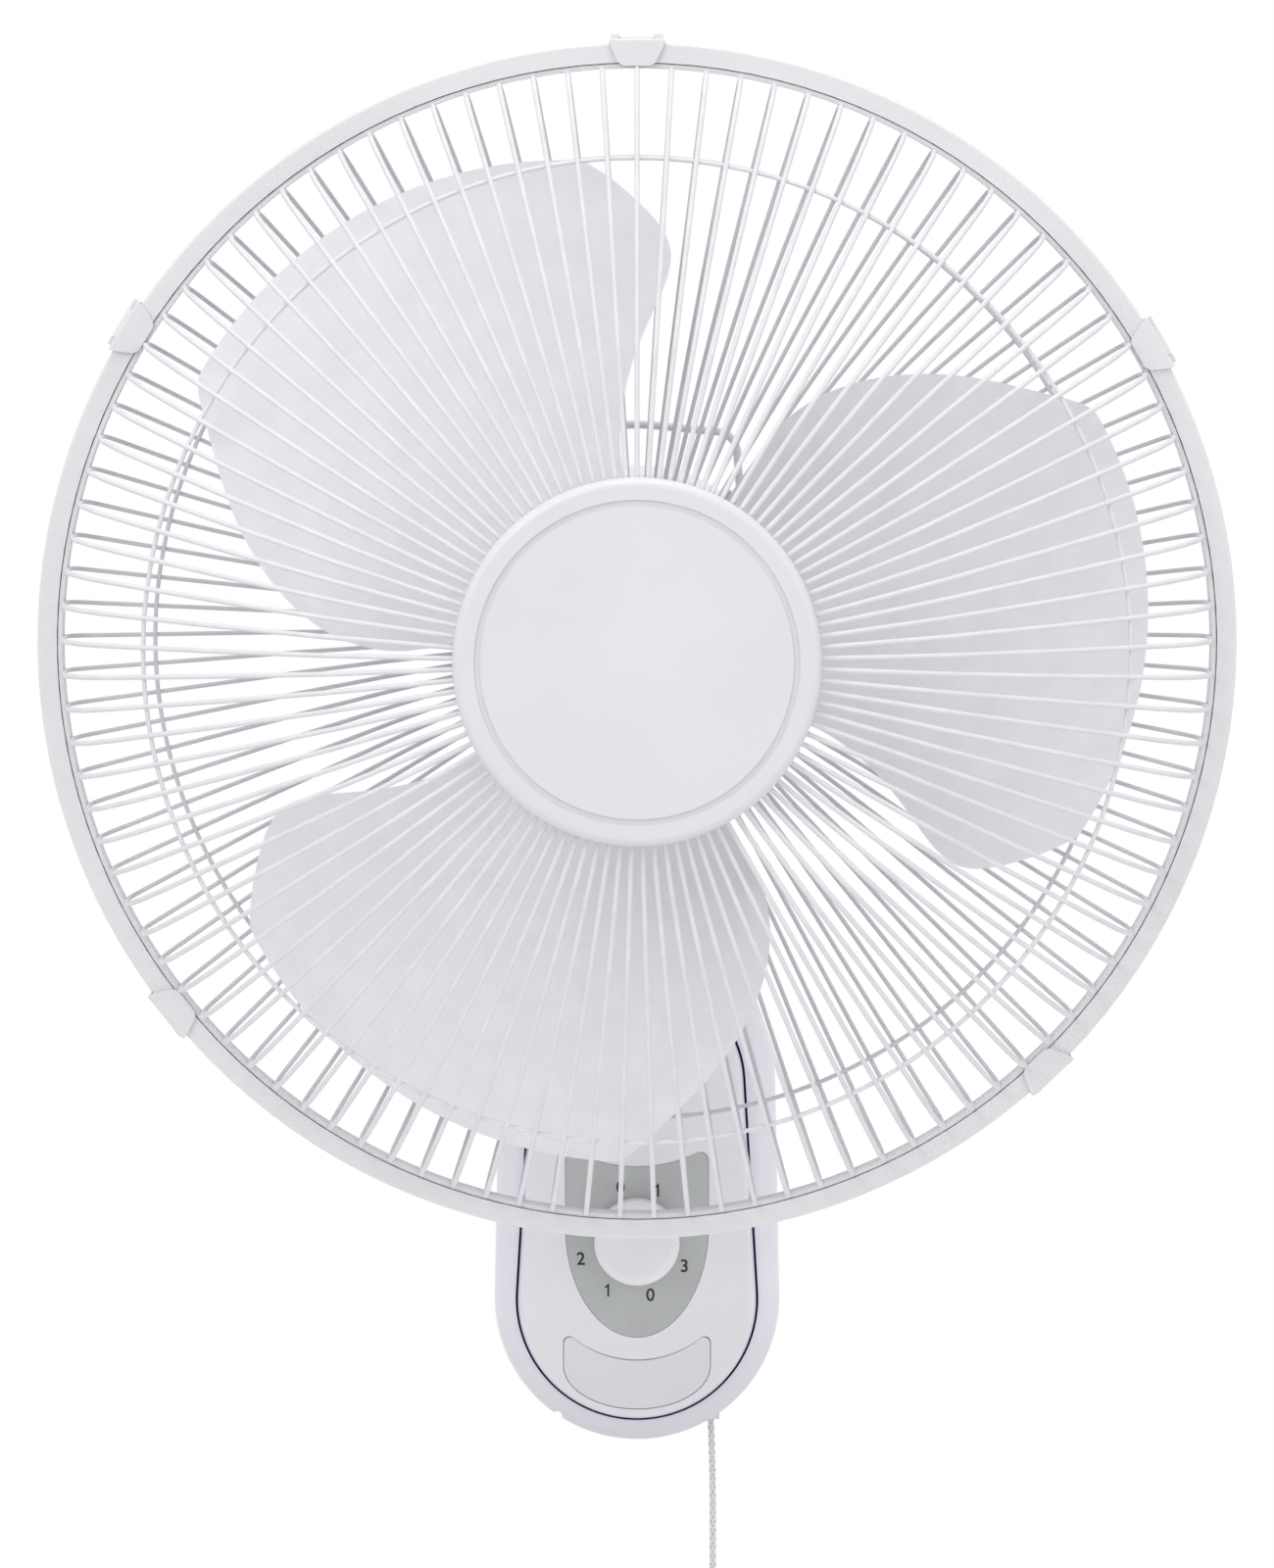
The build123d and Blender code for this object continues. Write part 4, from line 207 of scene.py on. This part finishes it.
class Finish:
    """A material around one Principled shader."""

    def __init__(self, name, roughness, metallic=0.0, **plain):
        self.material = bpy.data.materials.new(name)
        self.material.use_nodes = True
        self.tree = self.material.node_tree
        self.shader = self.tree.nodes["Principled BSDF"]
        self.shader.inputs["Roughness"].default_value = roughness
        self.shader.inputs["Metallic"].default_value = metallic
        for socket, value in plain.items():
            self.shader.inputs[socket.replace("_", " ")].default_value = value

    def node(self, kind, settings, sockets, output=0):
        """Adds a node: its settings first, then the values or signals of its sockets."""
        made = self.tree.nodes.new(kind)
        for key, value in settings.items():
            setattr(made, key, value)
        for key, value in sockets.items():
            if isinstance(value, Signal):
                self.tree.links.new(value.socket, made.inputs[key])
            else:
                made.inputs[key].default_value = value
        return Signal(self, made.outputs[output])

    def place(self, turn=(0, 0, 0), stretch=(1, 1, 1), shift=(0, 0, 0)):
        """Object coordinates, turned (degrees), stretched and shifted."""
        point = self.node("ShaderNodeTexCoord", {}, {}, "Object")
        angles = tuple(math.radians(angle) for angle in turn)
        return self.node(
            "ShaderNodeMapping",
            {"vector_type": "POINT"},
            {"Vector": point, "Location": shift, "Rotation": angles, "Scale": stretch},
        )

    def noise(self, size, detail=2.0, where=None, rough=0.5):
        """Cloudy noise with clouds of about that size, in metres."""
        return self.node(
            "ShaderNodeTexNoise",
            {"noise_dimensions": "3D"},
            {"Vector": where or self.place(), "Scale": 1 / size, "Detail": detail,
             "Roughness": rough},
        )

    def pebbles(self, size, where=None):
        """Rounded cells of about that size, in metres: 0 at the middle of each."""
        return self.node(
            "ShaderNodeTexVoronoi",
            {"feature": "F1"},
            {"Vector": where or self.place(), "Scale": 1 / size},
        )

    def fade(self, signal, low, high, to_low=0.0, to_high=1.0):
        """Maps a signal from low..high to to_low..to_high, and no further."""
        return self.node(
            "ShaderNodeMapRange",
            {"clamp": True},
            {"Value": signal, "From Min": low, "From Max": high, "To Min": to_low,
             "To Max": to_high},
        )

    def blend(self, share, one, two):
        """One colour turned into another by a share from 0 to 1."""
        made = self.node("ShaderNodeMix", {"data_type": "RGBA"}, {0: share}, 2)
        for index, colour in ((6, one), (7, two)):
            if isinstance(colour, Signal):
                self.tree.links.new(colour.socket, made.socket.node.inputs[index])
            else:
                made.socket.node.inputs[index].default_value = (*colour, 1)
        return made

    def paint(self, colour=None, roughness=None, relief=None, height=0.0002, strength=1.0):
        """Links colour, roughness and a relief of that height, in metres, to the shader."""
        if colour is not None:
            self.tree.links.new(colour.socket, self.shader.inputs["Base Color"])
        if roughness is not None:
            self.tree.links.new(roughness.socket, self.shader.inputs["Roughness"])
        if relief is not None:
            bump = self.node(
                "ShaderNodeBump", {}, {"Strength": strength, "Distance": height, "Height": relief}
            )
            self.tree.links.new(bump.socket, self.shader.inputs["Normal"])
        return self.material


def tone(red, green, blue):
    """A colour picked from a screen, 0 to 255, as the linear values that a shader wants."""
    parts = (red / 255, green / 255, blue / 255)
    return tuple(p / 12.92 if p <= 0.04045 else ((p + 0.055) / 1.055) ** 2.4 for p in parts)


print("mid grey as a shader wants it:", [round(v, 3) for v in tone(128, 128, 128)])

# %% [markdown]
# ## Pale moulded plastic
#
# The rim, cap, cover and housing are one family of white plastic, each from its own mould.
# Up close such a part is not one colour: the melt leaves faint clouds and flow, and the
# polished steel mould leaves a fine orange peel that softens reflections. One recipe takes a
# colour and makes both, so that neighbours match without being copies of each other.
# Where two mouldings meet, the narrow gaps and the faces that turn away from the front
# get a painted shade, a soft lilac tint or a dark grey, so that the gaps read as lines. The
# foot of the base gets a painted shade as well: its colour darkens towards the bottom.

# %% One recipe for every pale moulding
PEEL_SIZE = 0.0014
FOOT_SHADE_LOW = -0.12  # the painted shade towards the foot of the base is full here
FOOT_SHADE_HIGH = -0.06  # and begins here


def moulded(name, shade, roughness=0.38, cloud=0.06, coat=0.12, painted_side_shade=None, foot_shade=1.0):
    """Pale plastic: faint clouds in the colour, fine peel in the surface.

    One extra colour paints shade on faces turned from the front, a factor paints shade on the
    lower end.
    """
    finish = Finish(name, roughness, Coat_Weight=coat, Coat_Roughness=0.25)
    clouds = finish.noise(cloud, detail=3)
    grain = finish.noise(PEEL_SIZE, detail=1)
    darker = tuple(0.96 * v for v in shade)
    colour = finish.blend(finish.fade(clouds, 0.35, 0.65), darker, shade)
    # Painted shade: the colour darkens towards the foot of the base.
    if foot_shade < 1:
        height = finish.node("ShaderNodeSeparateXYZ", {}, {0: finish.place()}, "Z")
        low = tuple(foot_shade * v for v in shade)
        colour = finish.blend(finish.fade(height, FOOT_SHADE_LOW, FOOT_SHADE_HIGH, 1.0, 0.0), colour, low)
    # Painted shade: faces turned from the front, as in the gaps between mouldings, take the given
    # colour.
    if painted_side_shade:
        facing = finish.node("ShaderNodeTexCoord", {}, {}, "Normal")
        front = finish.node(
            "ShaderNodeVectorMath", {"operation": "DOT_PRODUCT"}, {0: facing, 1: (0, -1, 0)},
            "Value",
        )
        colour = finish.blend(finish.fade(front, 0.3, 0.85, 1.0, 0.0), colour, painted_side_shade)
    gloss = finish.fade(clouds + 0.3 * grain, 0.4, 0.85, roughness - 0.05, roughness + 0.07)
    return finish.paint(colour, gloss, grain, height=0.000012)


rim_plastic = moulded("rim_plastic", tone(230, 231, 233), 0.42)
cap_plastic = moulded("cap_plastic", tone(229, 228, 233), 0.34)
# The cover and insert get painted shade on their side faces in the gaps; cover, housing and insert
# get a painted darker foot.
cover_plastic = moulded(
    "cover_plastic", tone(239, 239, 243), 0.36, painted_side_shade=tone(190, 186, 226), foot_shade=0.84
)
housing_plastic = moulded("housing_plastic", tone(239, 238, 246), 0.40, foot_shade=0.76)
insert_plastic = moulded(
    "insert_plastic", tone(232, 231, 237), 0.34, painted_side_shade=tone(60, 59, 66), foot_shade=0.84
)
knob_plastic = moulded("knob_plastic", tone(238, 238, 241), 0.30, cloud=0.02)
motor_plastic = moulded("motor_plastic", tone(230, 229, 235), 0.42)
print("pale mouldings: rim, cap, cover, housing, insert, knob, motor")

# %% [markdown]
# ## Fan blades
#
# The blades are one thin moulding, slightly milky. They could let light through, but in the
# picture they read as solid white, so a plain shader with a soft gloss is enough. The melt
# runs out from the hub, so its faint streaks run out too: noise is stretched along the axis.

# %% Milky blade plastic with streaks
blade = Finish("blade_plastic", 0.36, Coat_Weight=0.15, Coat_Roughness=0.2)
streaks = blade.noise(0.012, detail=3, where=blade.place(stretch=(1, 0.25, 1)))
skin = blade.noise(0.0012, detail=1)
blade_colour = blade.blend(
    blade.fade(streaks, 0.35, 0.7), tone(236, 235, 240), tone(241, 240, 244)
)
blade_plastic = blade.paint(
    blade_colour, blade.fade(streaks, 0.3, 0.7, 0.32, 0.44), skin, height=0.00003
)
print("blade finish:", blade_plastic.name)

# %% [markdown]
# ## Coated guard wire
#
# Guard wire is drawn steel, welded, then dipped or powder coated. The coat is a few tenths
# of a millimetre of soft white that pools a little and leaves a pebbled skin. The rear
# guard stands in the shade of the blades, so its coat gets a painted shade: a greyer colour.

# %% Powder coat for the two guards
def coated_wire(name, shade):
    finish = Finish(name, 0.45, Coat_Weight=0.1, Coat_Roughness=0.3)
    skin = finish.pebbles(0.0006)
    pools = finish.noise(0.01, detail=2)
    colour = finish.blend(
        finish.fade(pools, 0.35, 0.7), tuple(0.94 * v for v in shade), shade
    )
    return finish.paint(colour, finish.fade(pools, 0.3, 0.7, 0.38, 0.52), skin, height=0.00004)


front_wire = coated_wire("front_wire", tone(231, 231, 235))
# Painted shade: the rear guard's greyer coat stands for the shade of the blades.
shaded_rear_wire = coated_wire("shaded_rear_wire", tone(215, 215, 220))
print("wire coats:", front_wire.name, shaded_rear_wire.name)

# %% [markdown]
# ## The dial plate and the black mouldings
#
# The dial is a grey plate with a sprayed, slightly grainy face. The switch body, lever and
# nuts inside are black or dark mouldings from spark-eroded moulds, whose skin is a mat of
# tiny pits that hides scratches.

# %% Sprayed grey and eroded black
dial = Finish("dial_paint", 0.5, Coat_Weight=0.05, Coat_Roughness=0.3)
spray = dial.noise(0.0004, detail=2)
drift = dial.noise(0.02, detail=2)
dial_colour = dial.blend(
    dial.fade(0.6 * spray + 0.4 * drift, 0.4, 0.62), tone(180, 182, 183), tone(192, 195, 194)
)
dial_paint = dial.paint(dial_colour, dial.fade(spray, 0.3, 0.7, 0.44, 0.56), spray, height=0.00003)


def eroded(name, shade):
    """Dark plastic with a pitted skin and lighter rubbed spots."""
    finish = Finish(name, 0.55)
    pits = finish.noise(0.0005, detail=3)
    rub = finish.noise(0.008, detail=3)
    colour = finish.blend(
        finish.fade(rub, 0.45, 0.75), shade, tuple(1.6 * v + 0.01 for v in shade)
    )
    return finish.paint(colour, finish.fade(pits, 0.3, 0.7, 0.48, 0.66), pits, height=0.00006)


dark_plastic = eroded("dark_plastic", tone(44, 44, 47))
capacitor_case = eroded("capacitor_case", tone(58, 60, 66))
spinner_plastic = eroded("spinner_plastic", tone(70, 71, 76))
print("dark mouldings ready")

# %% [markdown]
# ## Nylon
#
# Gears, washers and the terminal block are uncoloured nylon: waxy, a little yellow, with
# light that soaks in. A small amount of scattering under the skin gives that waxiness.

# %% Waxy nylon
nylon = Finish("natural_nylon", 0.42, Subsurface_Weight=0.15, Subsurface_Scale=0.002)
wax = nylon.noise(0.005, detail=3)
nylon_colour = nylon.blend(nylon.fade(wax, 0.35, 0.7), tone(214, 208, 190), tone(229, 225, 210))
natural_nylon = nylon.paint(
    nylon_colour, nylon.fade(wax, 0.3, 0.7, 0.36, 0.5), nylon.noise(0.0006), height=0.00003
)
print("nylon ready")

# %% [markdown]
# ## Metals
#
# Each metal is told apart by its marks. Zinc plate has crystals of slightly different grey.
# A ground shaft has fine rings round its axis. A cast bracket has a grainy skin. The core is
# a stack of thin sheets, so it shows lines across the motor's axis, and that axis leans
# with the head, so a Mapping node turns the pattern to match.

# %% Zinc plate, ground steel and cast alloy
HEAD_LEAN = 5.5  # degrees, nose down

zinc = Finish("zinc_plate", 0.34, metallic=1.0)
crystals = zinc.pebbles(0.004)
smudge = zinc.noise(0.015, detail=3)
zinc_colour = zinc.blend(zinc.fade(crystals, 0.1, 0.7), tone(196, 199, 205), tone(178, 181, 188))
zinc_plate = zinc.paint(
    zinc_colour, zinc.fade(smudge, 0.3, 0.7, 0.26, 0.46), zinc.noise(0.0008), height=0.00003
)

ground = Finish("ground_steel", 0.24, metallic=1.0)
rings = ground.noise(0.0006, detail=2, where=ground.place((HEAD_LEAN, 0, 0), (0.1, 1, 0.1)))
ground_colour = ground.blend(
    ground.fade(rings, 0.3, 0.7), tone(178, 179, 182), tone(205, 206, 208)
)
ground_steel = ground.paint(
    ground_colour, ground.fade(rings, 0.3, 0.7, 0.18, 0.32), rings, height=0.00001
)

cast = Finish("cast_alloy", 0.5, metallic=1.0)
sand = cast.noise(0.0009, detail=4)
stain = cast.noise(0.02, detail=3)
cast_colour = cast.blend(cast.fade(stain, 0.35, 0.7), tone(166, 168, 172), tone(196, 198, 201))
cast_alloy = cast.paint(cast_colour, cast.fade(sand, 0.3, 0.7, 0.42, 0.6), sand, height=0.00012)
print("metals:", zinc_plate.name, ground_steel.name, cast_alloy.name)

# %% Stacked sheets and enamelled wire
SHEET = 0.0005
WIRE_TURN = 0.0011

core = Finish("core_sheets", 0.5, metallic=0.9)
sheets = core.node(
    "ShaderNodeTexWave",
    {"wave_type": "BANDS", "bands_direction": "Y"},
    {"Vector": core.place((HEAD_LEAN, 0, 0)), "Scale": 1 / (20 * SHEET), "Distortion": 0.0},
)
rust = core.noise(0.006, detail=3)
core_colour = core.blend(core.fade(rust, 0.5, 0.8), tone(126, 127, 130), tone(120, 108, 98))
core_sheets = core.paint(
    core_colour, core.fade(sheets, 0.0, 1.0, 0.4, 0.6), sheets, height=0.0001
)

copper = Finish("winding_copper", 0.32, metallic=0.8, Coat_Weight=0.5, Coat_Roughness=0.15)
turns = copper.node(
    "ShaderNodeTexWave",
    {"wave_type": "RINGS", "rings_direction": "Y"},
    {"Vector": copper.place((HEAD_LEAN, 0, 0), shift=(0, 0, -0.19)),
     "Scale": 1 / (20 * WIRE_TURN), "Distortion": 0.6},
)
copper_colour = copper.blend(copper.fade(turns, 0.1, 0.9), tone(134, 72, 38), tone(202, 122, 72))
winding_copper = copper.paint(copper_colour, None, turns, height=0.0003)
print("core and winding ready")

# %% [markdown]
# ## The braided pull cord
#
# The cord is eight bundles of white yarn, four winding one way and four the other, each
# passing over one and under the next. A bump pattern on a tube would look flat against the
# white ground, where the outline shows, so the bundles are made: each is a curve that winds
# round the cord's own line and moves in and out as it crosses the others.

# %% The line that the cord hangs on
CORD_WIDTH = 0.0028
CORD_DEPTH = -0.0565
CORD_EXIT = (0.029, CORD_DEPTH, -0.1135)
CORD_ROUTE = [
    CORD_EXIT, (0.0297, CORD_DEPTH, -0.1295), (0.0299, CORD_DEPTH, -0.1595),
    (0.0294, CORD_DEPTH, -0.2155), (0.0296, CORD_DEPTH, -0.2655),
]


def line_through(name, points):
    """Points read from a smooth spline that these points steer."""
    curve = bpy.data.curves.new(name, "CURVE")
    curve.dimensions = "3D"
    curve.resolution_u = 48
    spline = curve.splines.new("NURBS")
    spline.points.add(len(points) - 1)
    for point, place in zip(spline.points, points):
        point.co = (*place, 1)
    spline.order_u = 3
    spline.use_endpoint_u = True
    holder = bpy.data.objects.new(name, curve)
    mesh = bpy.data.meshes.new_from_object(holder)
    found = [vertex.co.copy() for vertex in mesh.vertices]
    bpy.data.objects.remove(holder)
    bpy.data.meshes.remove(mesh)
    return found


cord_line = line_through("cord_line", CORD_ROUTE)

# %% Bundles of yarn wound round that line
BUNDLES = 4  # each way
BRAID_TURN = 0.0135  # length of cord in which a bundle goes once round
BUNDLE_RADIUS = 0.00043
BRAID_WAVE = 0.00014
STEP = 0.0005


def even_points(line, step):
    """The line's points again, that far apart, with the direction at each."""
    lengths = [0.0]
    for a, b in zip(line, line[1:]):
        lengths.append(lengths[-1] + (b - a).length)
    count = round(lengths[-1] / step)
    found = []
    index = 0
    for number in range(count + 1):
        wanted = lengths[-1] * number / count
        while index < len(line) - 2 and lengths[index + 1] < wanted:
            index += 1
        run = line[index + 1] - line[index]
        share = (wanted - lengths[index]) / (lengths[index + 1] - lengths[index])
        found.append((wanted, line[index] + run * share, run.normalized()))
    return found


def wound_bundle(points, start, way):
    """Places of one bundle: way 1 winds right, -1 left; it goes over and under in turn."""
    middle = CORD_WIDTH / 2 - BUNDLE_RADIUS - BRAID_WAVE
    places = []
    for travelled, place, along in points:
        turned = 2 * math.pi * travelled / BRAID_TURN
        angle = start + way * turned
        reach = middle + way * BRAID_WAVE * math.cos(BUNDLES * turned)
        side = Vector((0, 1, 0)).cross(along).normalized()
        other = along.cross(side)
        places.append(place + reach * (math.cos(angle) * side + math.sin(angle) * other))
    return places


def strand_object(name, lines, radius, sides=1):
    """Round strands along lists of places, as one mesh."""
    curve = bpy.data.curves.new(name, "CURVE")
    curve.dimensions = "3D"
    curve.bevel_depth = radius
    curve.bevel_resolution = sides
    curve.use_fill_caps = True
    for places in lines:
        spline = curve.splines.new("POLY")
        spline.points.add(len(places) - 1)
        for point, place in zip(spline.points, places):
            point.co = (*place, 1)
    holder = bpy.data.objects.new(name + "_curve", curve)
    mesh = bpy.data.meshes.new_from_object(holder)
    bpy.data.objects.remove(holder)
    mesh.name = name
    for face in mesh.polygons:
        face.use_smooth = True
    piece = bpy.data.objects.new(name, mesh)
    bpy.context.scene.collection.objects.link(piece)
    return piece


def braid(name, line):
    """A braided cord along a line: eight bundles over a plain heart."""
    points = even_points(line, STEP)
    wound = [
        wound_bundle(points, 2 * math.pi * number / BUNDLES, way)
        for way in (1, -1)
        for number in range(BUNDLES)
    ]
    outer = strand_object(name, wound, BUNDLE_RADIUS)
    heart = strand_object(
        name + "_heart", [[place for _, place, _ in points]],
        CORD_WIDTH / 2 - 2 * BUNDLE_RADIUS, sides=2,
    )
    joined = bmesh.new()
    joined.from_mesh(outer.data)
    joined.from_mesh(heart.data)
    joined.to_mesh(outer.data)
    joined.free()
    bpy.data.objects.remove(heart)
    return outer


braided_cord = braid("braided_cord", cord_line)
print("braided cord:", len(braided_cord.data.polygons), "faces")

# %% [markdown]
# Inside the base the same cord runs up to the ratchet lever and ends in a knot. It hardly
# shows, but it is the same braid, so the same function makes it.

# %% The same braid inside the base, with its knot
CORD_TOP = -0.0243
KNOT_RADIUS = 0.003

inner_line = [Vector((0.029, CORD_DEPTH, z)) for z in (-0.1134, -0.08, -0.05, CORD_TOP)]
braided_inner = braid("braided_inner_cord", inner_line)
KNOT_WRAPS = 5
knot_line = [
    Vector((0.029, CORD_DEPTH, CORD_TOP))
    + (KNOT_RADIUS - CORD_WIDTH / 3) * Vector((
        math.cos(turn) * math.cos(2 * turn / KNOT_WRAPS),
        math.sin(turn) * math.cos(2 * turn / KNOT_WRAPS),
        math.sin(2 * turn / KNOT_WRAPS),
    ))
    for turn in [2 * math.pi * KNOT_WRAPS * i / 160 for i in range(161)]
]
knot = strand_object("cord_knot", [knot_line], CORD_WIDTH / 3, sides=2)
print("inner cord and knot made")

# %% [markdown]
# ## Yarn
#
# Yarn is hundreds of hairs side by side. At this size the hairs are a faint, uneven grain
# on each bundle, and the hollows between bundles are darker because light is lost in them.
# The lamps give most of that shade; a fine noise gives the grain, with a little sheen.

# %% White polyester yarn
yarn = Finish("cord_yarn", 0.75, Sheen_Weight=0.25, Sheen_Roughness=0.4)
hairs = yarn.noise(0.00025, detail=2, where=yarn.place(stretch=(1, 1, 0.35)))
yarn_colour = yarn.blend(yarn.fade(hairs, 0.3, 0.65), tone(206, 206, 210), tone(236, 236, 238))
cord_yarn = yarn.paint(yarn_colour, None, hairs, height=0.00008)
for piece in (braided_cord, braided_inner, knot):
    piece.data.materials.clear()
    piece.data.materials.append(cord_yarn)
    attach(piece, "pull_cord")
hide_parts("pull_cord")
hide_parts("cord_inner")

# %% [markdown]
# ## Numbers round the knob
#
# The speeds are printed on the dial twice round the knob: off, one, two, three. Blender's
# text tool draws them, and turning the text into a mesh makes them part of the object. They
# stand upright, not turned to the centre, and lie a hair proud of the plate, as ink does.

# %% Print the numbers on the dial
NUMBER_HEIGHT = 0.0050
NUMBER_REACH = 0.0218
DIAL_CENTRE = (-0.00115, -0.0422)
INK = 0.00012
BOLDER = 0.012
DIAL_NUMBERS = (
    ("1", 24), ("2", 68), ("3", 116), ("0", 163), ("1", 209), ("2", 252), ("3", 294), ("0", 346),
)
dial_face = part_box("dial_plate")[0].y


def flagged_one():
    """The figure 1 with a flag, as an outline: the built-in font draws a plain bar."""
    outline = bpy.data.curves.new("number_1", "CURVE")
    outline.dimensions = "2D"
    outline.fill_mode = "BOTH"
    spline = outline.splines.new("POLY")
    corners = (
        (0.24, 0), (0.38, 0), (0.38, 1), (0.28, 1), (0.2, 0.86), (0.04, 0.78), (0.04, 0.66),
        (0.24, 0.72),
    )
    spline.points.add(len(corners) - 1)
    for point, corner in zip(spline.points, corners):
        point.co = (*corner, 0, 1)
    spline.use_cyclic_u = True
    return outline


def printed(text, centre_x, centre_z, height):
    """One upright number as a mesh standing INK proud of the dial's face."""
    if text == "1":
        font = flagged_one()
    else:
        font = bpy.data.curves.new("number_" + text, "FONT")
        font.body = text
        font.offset = BOLDER
    font.extrude = 0.5
    holder = bpy.data.objects.new("number", font)
    mesh = bpy.data.meshes.new_from_object(holder)
    bpy.data.objects.remove(holder)
    xs = [v.co.x for v in mesh.vertices]
    ys = [v.co.y for v in mesh.vertices]
    scale = height / (max(ys) - min(ys))
    middle = Vector(((max(xs) + min(xs)) / 2, (max(ys) + min(ys)) / 2, 0))
    upright = Matrix(((1, 0, 0), (0, 0, -1), (0, 1, 0))).to_4x4()
    size = Matrix.Diagonal((scale, scale, 2 * INK, 1))
    mesh.transform(
        Matrix.Translation((centre_x, dial_face, centre_z)) @ upright @ size
        @ Matrix.Translation(-middle)
    )
    return mesh


numbers = bmesh.new()
for text, clock in DIAL_NUMBERS:
    turn = math.radians(clock)
    numbers.from_mesh(printed(
        text, DIAL_CENTRE[0] + NUMBER_REACH * math.sin(turn),
        DIAL_CENTRE[1] + NUMBER_REACH * math.cos(turn), NUMBER_HEIGHT,
    ))
number_mesh = bpy.data.meshes.new("dial_numbers")
numbers.to_mesh(number_mesh)
numbers.free()
dial_numbers = bpy.data.objects.new("dial_numbers", number_mesh)
bpy.context.scene.collection.objects.link(dial_numbers)
print("numbers:", len(number_mesh.polygons), "faces")

# %% Black ink with a little wear
ink = Finish("printing_ink", 0.45)
specks = ink.noise(0.0003, detail=2)
ink_colour = ink.blend(ink.fade(specks, 0.5, 0.8), tone(24, 24, 27), tone(58, 58, 62))
printing_ink = ink.paint(ink_colour, ink.fade(specks, 0.3, 0.7, 0.4, 0.55), specks, height=0.00002)
number_mesh.materials.append(printing_ink)
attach(dial_numbers, "wall_base")
print("ink:", printing_ink.name)

# %% [markdown]
# ## Dress the solid pieces
#
# Every piece from the CAD model now gets its finish. A table of finish and pieces reads
# better than sixty lines, and the check at its end makes sure that none was forgotten.

# %% Give each solid piece its finish
WEARS = {
    front_wire: ["front_guard"],
    shaded_rear_wire: ["rear_guard"],
    rim_plastic: ["rim_ring", *(f"rim_clip_{n}" for n in range(1, 6))],
    cap_plastic: ["guard_cap", "carry_handle"],
    cover_plastic: ["front_cover", "pull_cord_guide", "cord_bell"],
    housing_plastic: ["rear_housing", "neck_arm", "tilt_yoke"],
    insert_plastic: ["crescent_insert"],
    knob_plastic: ["speed_knob", "osc_knob", "tilt_knob"],
    motor_plastic: ["motor_front_cover", "motor_rear_cover"],
    blade_plastic: ["fan_blade"],
    dial_paint: ["dial_plate"],
    dark_plastic: ["rotary_switch", "inlet_gland", "guard_nut", "ratchet_lever"],
    spinner_plastic: ["spinner_nut"],
    capacitor_case: ["capacitor"],
    natural_nylon: ["worm_wheel", "terminal_block", "thrust_washer", "tilt_washers"],
    zinc_plate: [
        "head_screws", "base_screws", "motor_bolts", "locking_screw", "pan_lock_screw",
        "tilt_bolt", "wall_bracket", "clip_pins", "lever_spring", "link_rod", "drive_pin",
        "bearings", "switch_spindle",
    ],
    ground_steel: ["motor_shaft", "clutch_shaft", "crank_gear", "pan_pivot"],
    core_sheets: ["stator_core", "rotor_core"],
    cast_alloy: ["front_bracket", "rear_bracket", "gearbox_case", "gearbox_cover"],
    winding_copper: ["stator_winding"],
    cord_yarn: ["pull_cord", "cord_inner"],
}
dressed = set()
for material, names in WEARS.items():
    for name in names:
        nodes[name].data.materials.clear()
        nodes[name].data.materials.append(material)
        dressed.add(name)
print("dressed:", len(dressed), "left plain:", sorted(set(nodes) - dressed))

# %% [markdown]
# ## The floor's finish
#
# A plain pale floor. The camera sees it as white as the world around it.

# %% Pale floor finish
paper = Finish("floor_paper", 0.8)
fibres = paper.noise(0.004, detail=3)
floor_paper = paper.paint(
    paper.blend(paper.fade(fibres, 0.3, 0.7), tone(238, 238, 238), tone(246, 246, 246))
)
floor_mesh.materials.append(floor_paper)
print("floor finish:", floor_paper.name)
